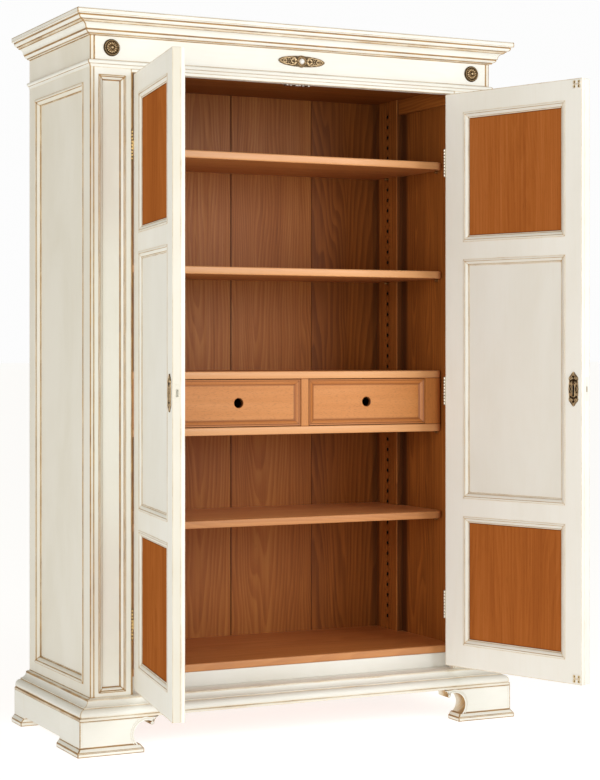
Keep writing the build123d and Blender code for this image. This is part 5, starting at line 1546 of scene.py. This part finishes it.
for s, side, faces_ in ((-1, "left", (-1,)), (1, "right", (-1, 1))):
    p = Piece("v_" + side + "_escutcheon")
    uc = s * (D_E - (D_W - ST_L / 2))
    for sg in faces_:
        yb = D_Y if sg < 0 else D_Y + D_T
        ladder(p, SCUT, lambda a, b_, h, yb=yb, sg=sg: (uc + b_, yb + sg * h, LOCK_Z + a), 0, 0, scut_h, 45, hole=key_hole)
        # walls of the slot and the sheet behind it, both near-black: painted shade
        slot = [(2.8, -15.5), (2.8, 6.5)] + [(3.4 * math.cos(math.radians(t)), 6.5 + 3.4 * math.sin(math.radians(t))) for t in range(0, 181, 20)] + [(-2.8, 6.5), (-2.8, -15.5)]
        n = len(slot)
        v = [(uc + a, yb + sg * 1.6, LOCK_Z + b_) for a, b_ in slot] + [(uc + a, yb + sg * 0.05, LOCK_Z + b_) for a, b_ in slot]
        p.add(v, [(i, (i + 1) % n, n + (i + 1) % n, n + i) for i in range(n)] + [tuple(range(n, 2 * n))], [1.0] * (2 * n), None, 0.5, 1)
        for zc in (-38.0, 38.0):
            lathe(p, [(0.001, yb + sg * 2.9), (1.2, yb + sg * 2.8), (1.9, yb + sg * 2.3), (2.0, yb + sg * 1.2)], uc, 0, 14, [0.1, 0.0, 0.4, 1.0], axis="y", cz=LOCK_Z + zc)
    p.build(side + "_door", [BRONZE, SHADE_BLACK], [side + ("_door_escutcheon" if s < 0 else "_door_escutcheons")], "bronze", swung(s), angle=60)

# small plates on the corners of the doors, and the strike
PLATE = metal("plate_brass", srgb("#3A2610"), srgb("#E6C67F"), 0.26)
for s, side in ((-1, "left"), (1, "right")):
    p = Piece("v_" + side + "_door_plates")
    for za, zb in ((D_Z1 - 28, D_Z1 - 3), (D_Z0 + 3, D_Z0 + 28)):
        x0, x1 = sorted((s * (D_E - 452), s * (D_E - 482)))
        y1 = D_Y + D_T
        n0 = len(p.m)
        block(p, x0, x1, y1 - 0.05, y1 + 0.7, za, zb, r=0.3, inset=2.0, glaze_and_shade=0.15)
        for i in range(n0, len(p.m)):
            p.m[i] = 1
        xm, zm = (x0 + x1) / 2, (za + zb) / 2
        for dx in (-1, 1):
            for dz in (-1, 1):
                c_ = (xm + dx * 7.4, zm + dz * 6.0)
                a0 = math.atan2(-dz, -dx)
                bead(p, spiral(c_[0], c_[1], 5.2, 2.2, a0, 1.15 * dx * dz, 18), 0.95, lambda a, b_, h, y1=y1: (a, y1 + 0.6 + h * 0.6, b_), glaze_and_shade=0.35, taper=False)
                lathe(p, [(0.001, y1 + 0.85), (1.2, y1 + 0.9), (1.9, y1 + 1.15), (2.3, y1 + 0.6)], c_[0], 0, 14, [1.0, 1.0, 0.6, 0.8], axis="y", cz=c_[1])
        bead(p, [(xm - 3.0, zm), (xm + 3.0, zm)], 0.9, lambda a, b_, h, y1=y1: (a, y1 + 0.6 + h * 0.6, b_), glaze_and_shade=0.3, taper=False)
    mats = [PLATE, CREAM_PLAIN, CREAM_EDGE_SHADED]
    # the strike is painted over in the darker cream copy: painted shade on it
    if s < 0:
        n0 = len(p.m)
        u1 = D_W
        x0, x1 = sorted((s * (D_E - (D_W - 1.5)), s * (D_E - D_W)))
        for za, zb in ((LOCK_Z - 22, LOCK_Z - 9), (LOCK_Z + 9, LOCK_Z + 22)):
            block(p, x0, x1, D_Y + 6, D_Y + 18, za, zb, r=0.3, inset=1.5, glaze_and_shade=0.12)
        for ya, yb in ((D_Y + 6, D_Y + 9), (D_Y + 15, D_Y + 18)):
            block(p, x0, x1, ya, yb, LOCK_Z - 9, LOCK_Z + 9, r=0.2, inset=0.8, glaze_and_shade=0.12)
        for i in range(n0, len(p.m)):
            p.m[i] = 2
    p.build(side + "_door", mats, [side + "_door_plates"], "brass", swung(s), angle=45)

# lock case, its painted face strip, and the bolt
p = Piece("v_lock_case")
x0, x1 = sorted((D_E - (D_W - 44), D_E - D_W))
f0, f1 = sorted((D_E - (D_W - 2.5), D_E - D_W))
for ya, yb, za, zb in ((5, 9.6, -32, 32), (14.4, 19, -32, 32), (9.6, 14.4, -32, -7.4), (9.6, 14.4, 7.4, 32)):
    block(p, x0 + 2.4, x1, D_Y + ya, D_Y + yb, LOCK_Z + za, LOCK_Z + zb, r=0.2, inset=0.8, glaze_and_shade=0.3)
n0 = len(p.m)
for ya, yb, za, zb in ((5, 9.6, -32, 32), (14.4, 19, -32, 32), (9.6, 14.4, -32, -7.4), (9.6, 14.4, 7.4, 32)):
    block(p, f0, f1, D_Y + ya, D_Y + yb, LOCK_Z + za, LOCK_Z + zb, r=0.15, inset=0.8, glaze_and_shade=0.15)
for i in range(n0, len(p.m)):
    p.m[i] = 1
p.build("right_door", [STEEL, CREAM_PLAIN], ["lock_case"], "steel", swung(1))
p = Piece("v_lock_bolt")
x0, x1 = sorted((D_E - (D_W - 34), D_E - (D_W - 0.3)))
block(p, x0, x1, D_Y + 10.0, D_Y + 14.0, LOCK_Z - 7, LOCK_Z + 7, r=0.5, inset=1.2, glaze_and_shade=0.4)
p.build("lock_bolt_body", [BRASS], ["lock_bolt"], "steel", swung(1))

# door catch under the header: plate with two slots and two magnets
p = Piece("v_door_catch")
kx = 8.0
for a, b_, za, zb in ((-36, -30, 1793.6, 1814), (-8, 8, 1793.6, 1814), (30, 36, 1793.6, 1814), (-30, -8, 1797, 1814), (8, 30, 1797, 1814)):
    block(p, kx + a, kx + b_, 24, 42, za, zb, r=0.4, inset=1.5, glaze_and_shade=0.4)
for c in (-19, 19):
    lathe(p, [(5.0, 1797.8), (5.0, 1794.3), (4.5, 1793.8), (0.001, 1793.8)], kx + c, 33, 20, [0.6, 0.3, 0.1, 0.0])
p.build("carcass", [STEEL], ["door_catch"], "steel", angle=45)


# --------------------------------------------------------- stage, light, camera
fm = bpy.data.meshes.new("floor")
fm.from_pydata([(-200, -200, 0), (200, -200, 0), (200, 200, 0), (-200, 200, 0)], [], [(0, 1, 2, 3)])
m, nt, b = new_mat("floor_pale")
b.inputs["Base Color"].default_value = (0.46, 0.46, 0.455, 1)
b.inputs["Roughness"].default_value = 0.85
b.inputs["Specular IOR Level"].default_value = 0.1
b.inputs["Emission Color"].default_value = (1.0, 0.995, 0.985, 1)
b.inputs["Emission Strength"].default_value = 0.79
fm.materials.append(m)
fo = bpy.data.objects.new("floor", fm)
bpy.context.scene.collection.objects.link(fo)

w = bpy.data.worlds.new("studio")
bpy.context.scene.world = w
w.use_nodes = True
wt = w.node_tree
bg = wt.nodes["Background"]
g = G(wt)
lp = wt.nodes.new("ShaderNodeLightPath").outputs["Is Camera Ray"]
g.put(bg.inputs[0], g.mix(lp, (0.39, 0.371, 0.338, 1), (0.98, 0.98, 0.98, 1)))
bg.inputs[1].default_value = 1.0


def area(name, loc, target, size, energy, col=(1, 1, 1)):
    l = bpy.data.lights.new(name, "AREA")
    l.shape = "RECTANGLE"
    l.size, l.size_y = size
    l.energy = energy
    l.color = col
    o = bpy.data.objects.new(name, l)
    bpy.context.scene.collection.objects.link(o)
    o.location = loc
    o.rotation_euler = (Vector(target) - Vector(loc)).to_track_quat("-Z", "Y").to_euler()
    return o


area("key", (2.1, -4.6, 2.3), (0, 0, 1.0), (2.4, 2.2), 96, (0.93, 0.97, 1.03))
area("fill_left", (-3.2, -3.8, 1.7), (0, 0, 1.0), (2.4, 2.4), 84, (0.98, 1.0, 1.01))

cam = bpy.data.cameras.new("camera")
co = bpy.data.objects.new("camera", cam)
bpy.context.scene.collection.objects.link(co)
co.location = (-2.3432, (-4809.9 + YF) * 0.001, 1.0501)
co.rotation_euler = (math.radians(90), 0, math.radians(-25.99))
cam.sensor_width = 36.0
cam.sensor_fit = "AUTO"
cam.lens = 1933.85 / 780.0 * 36.0
cam.shift_y = -(390.0 - 353.5) / 780.0
cam.clip_start, cam.clip_end = 0.05, 400.0
bpy.context.scene.camera = co
vs = bpy.context.scene.view_settings
vs.view_transform = "Standard"
vs.look = "None"
vs.exposure = 0.0
vs.gamma = 1.0
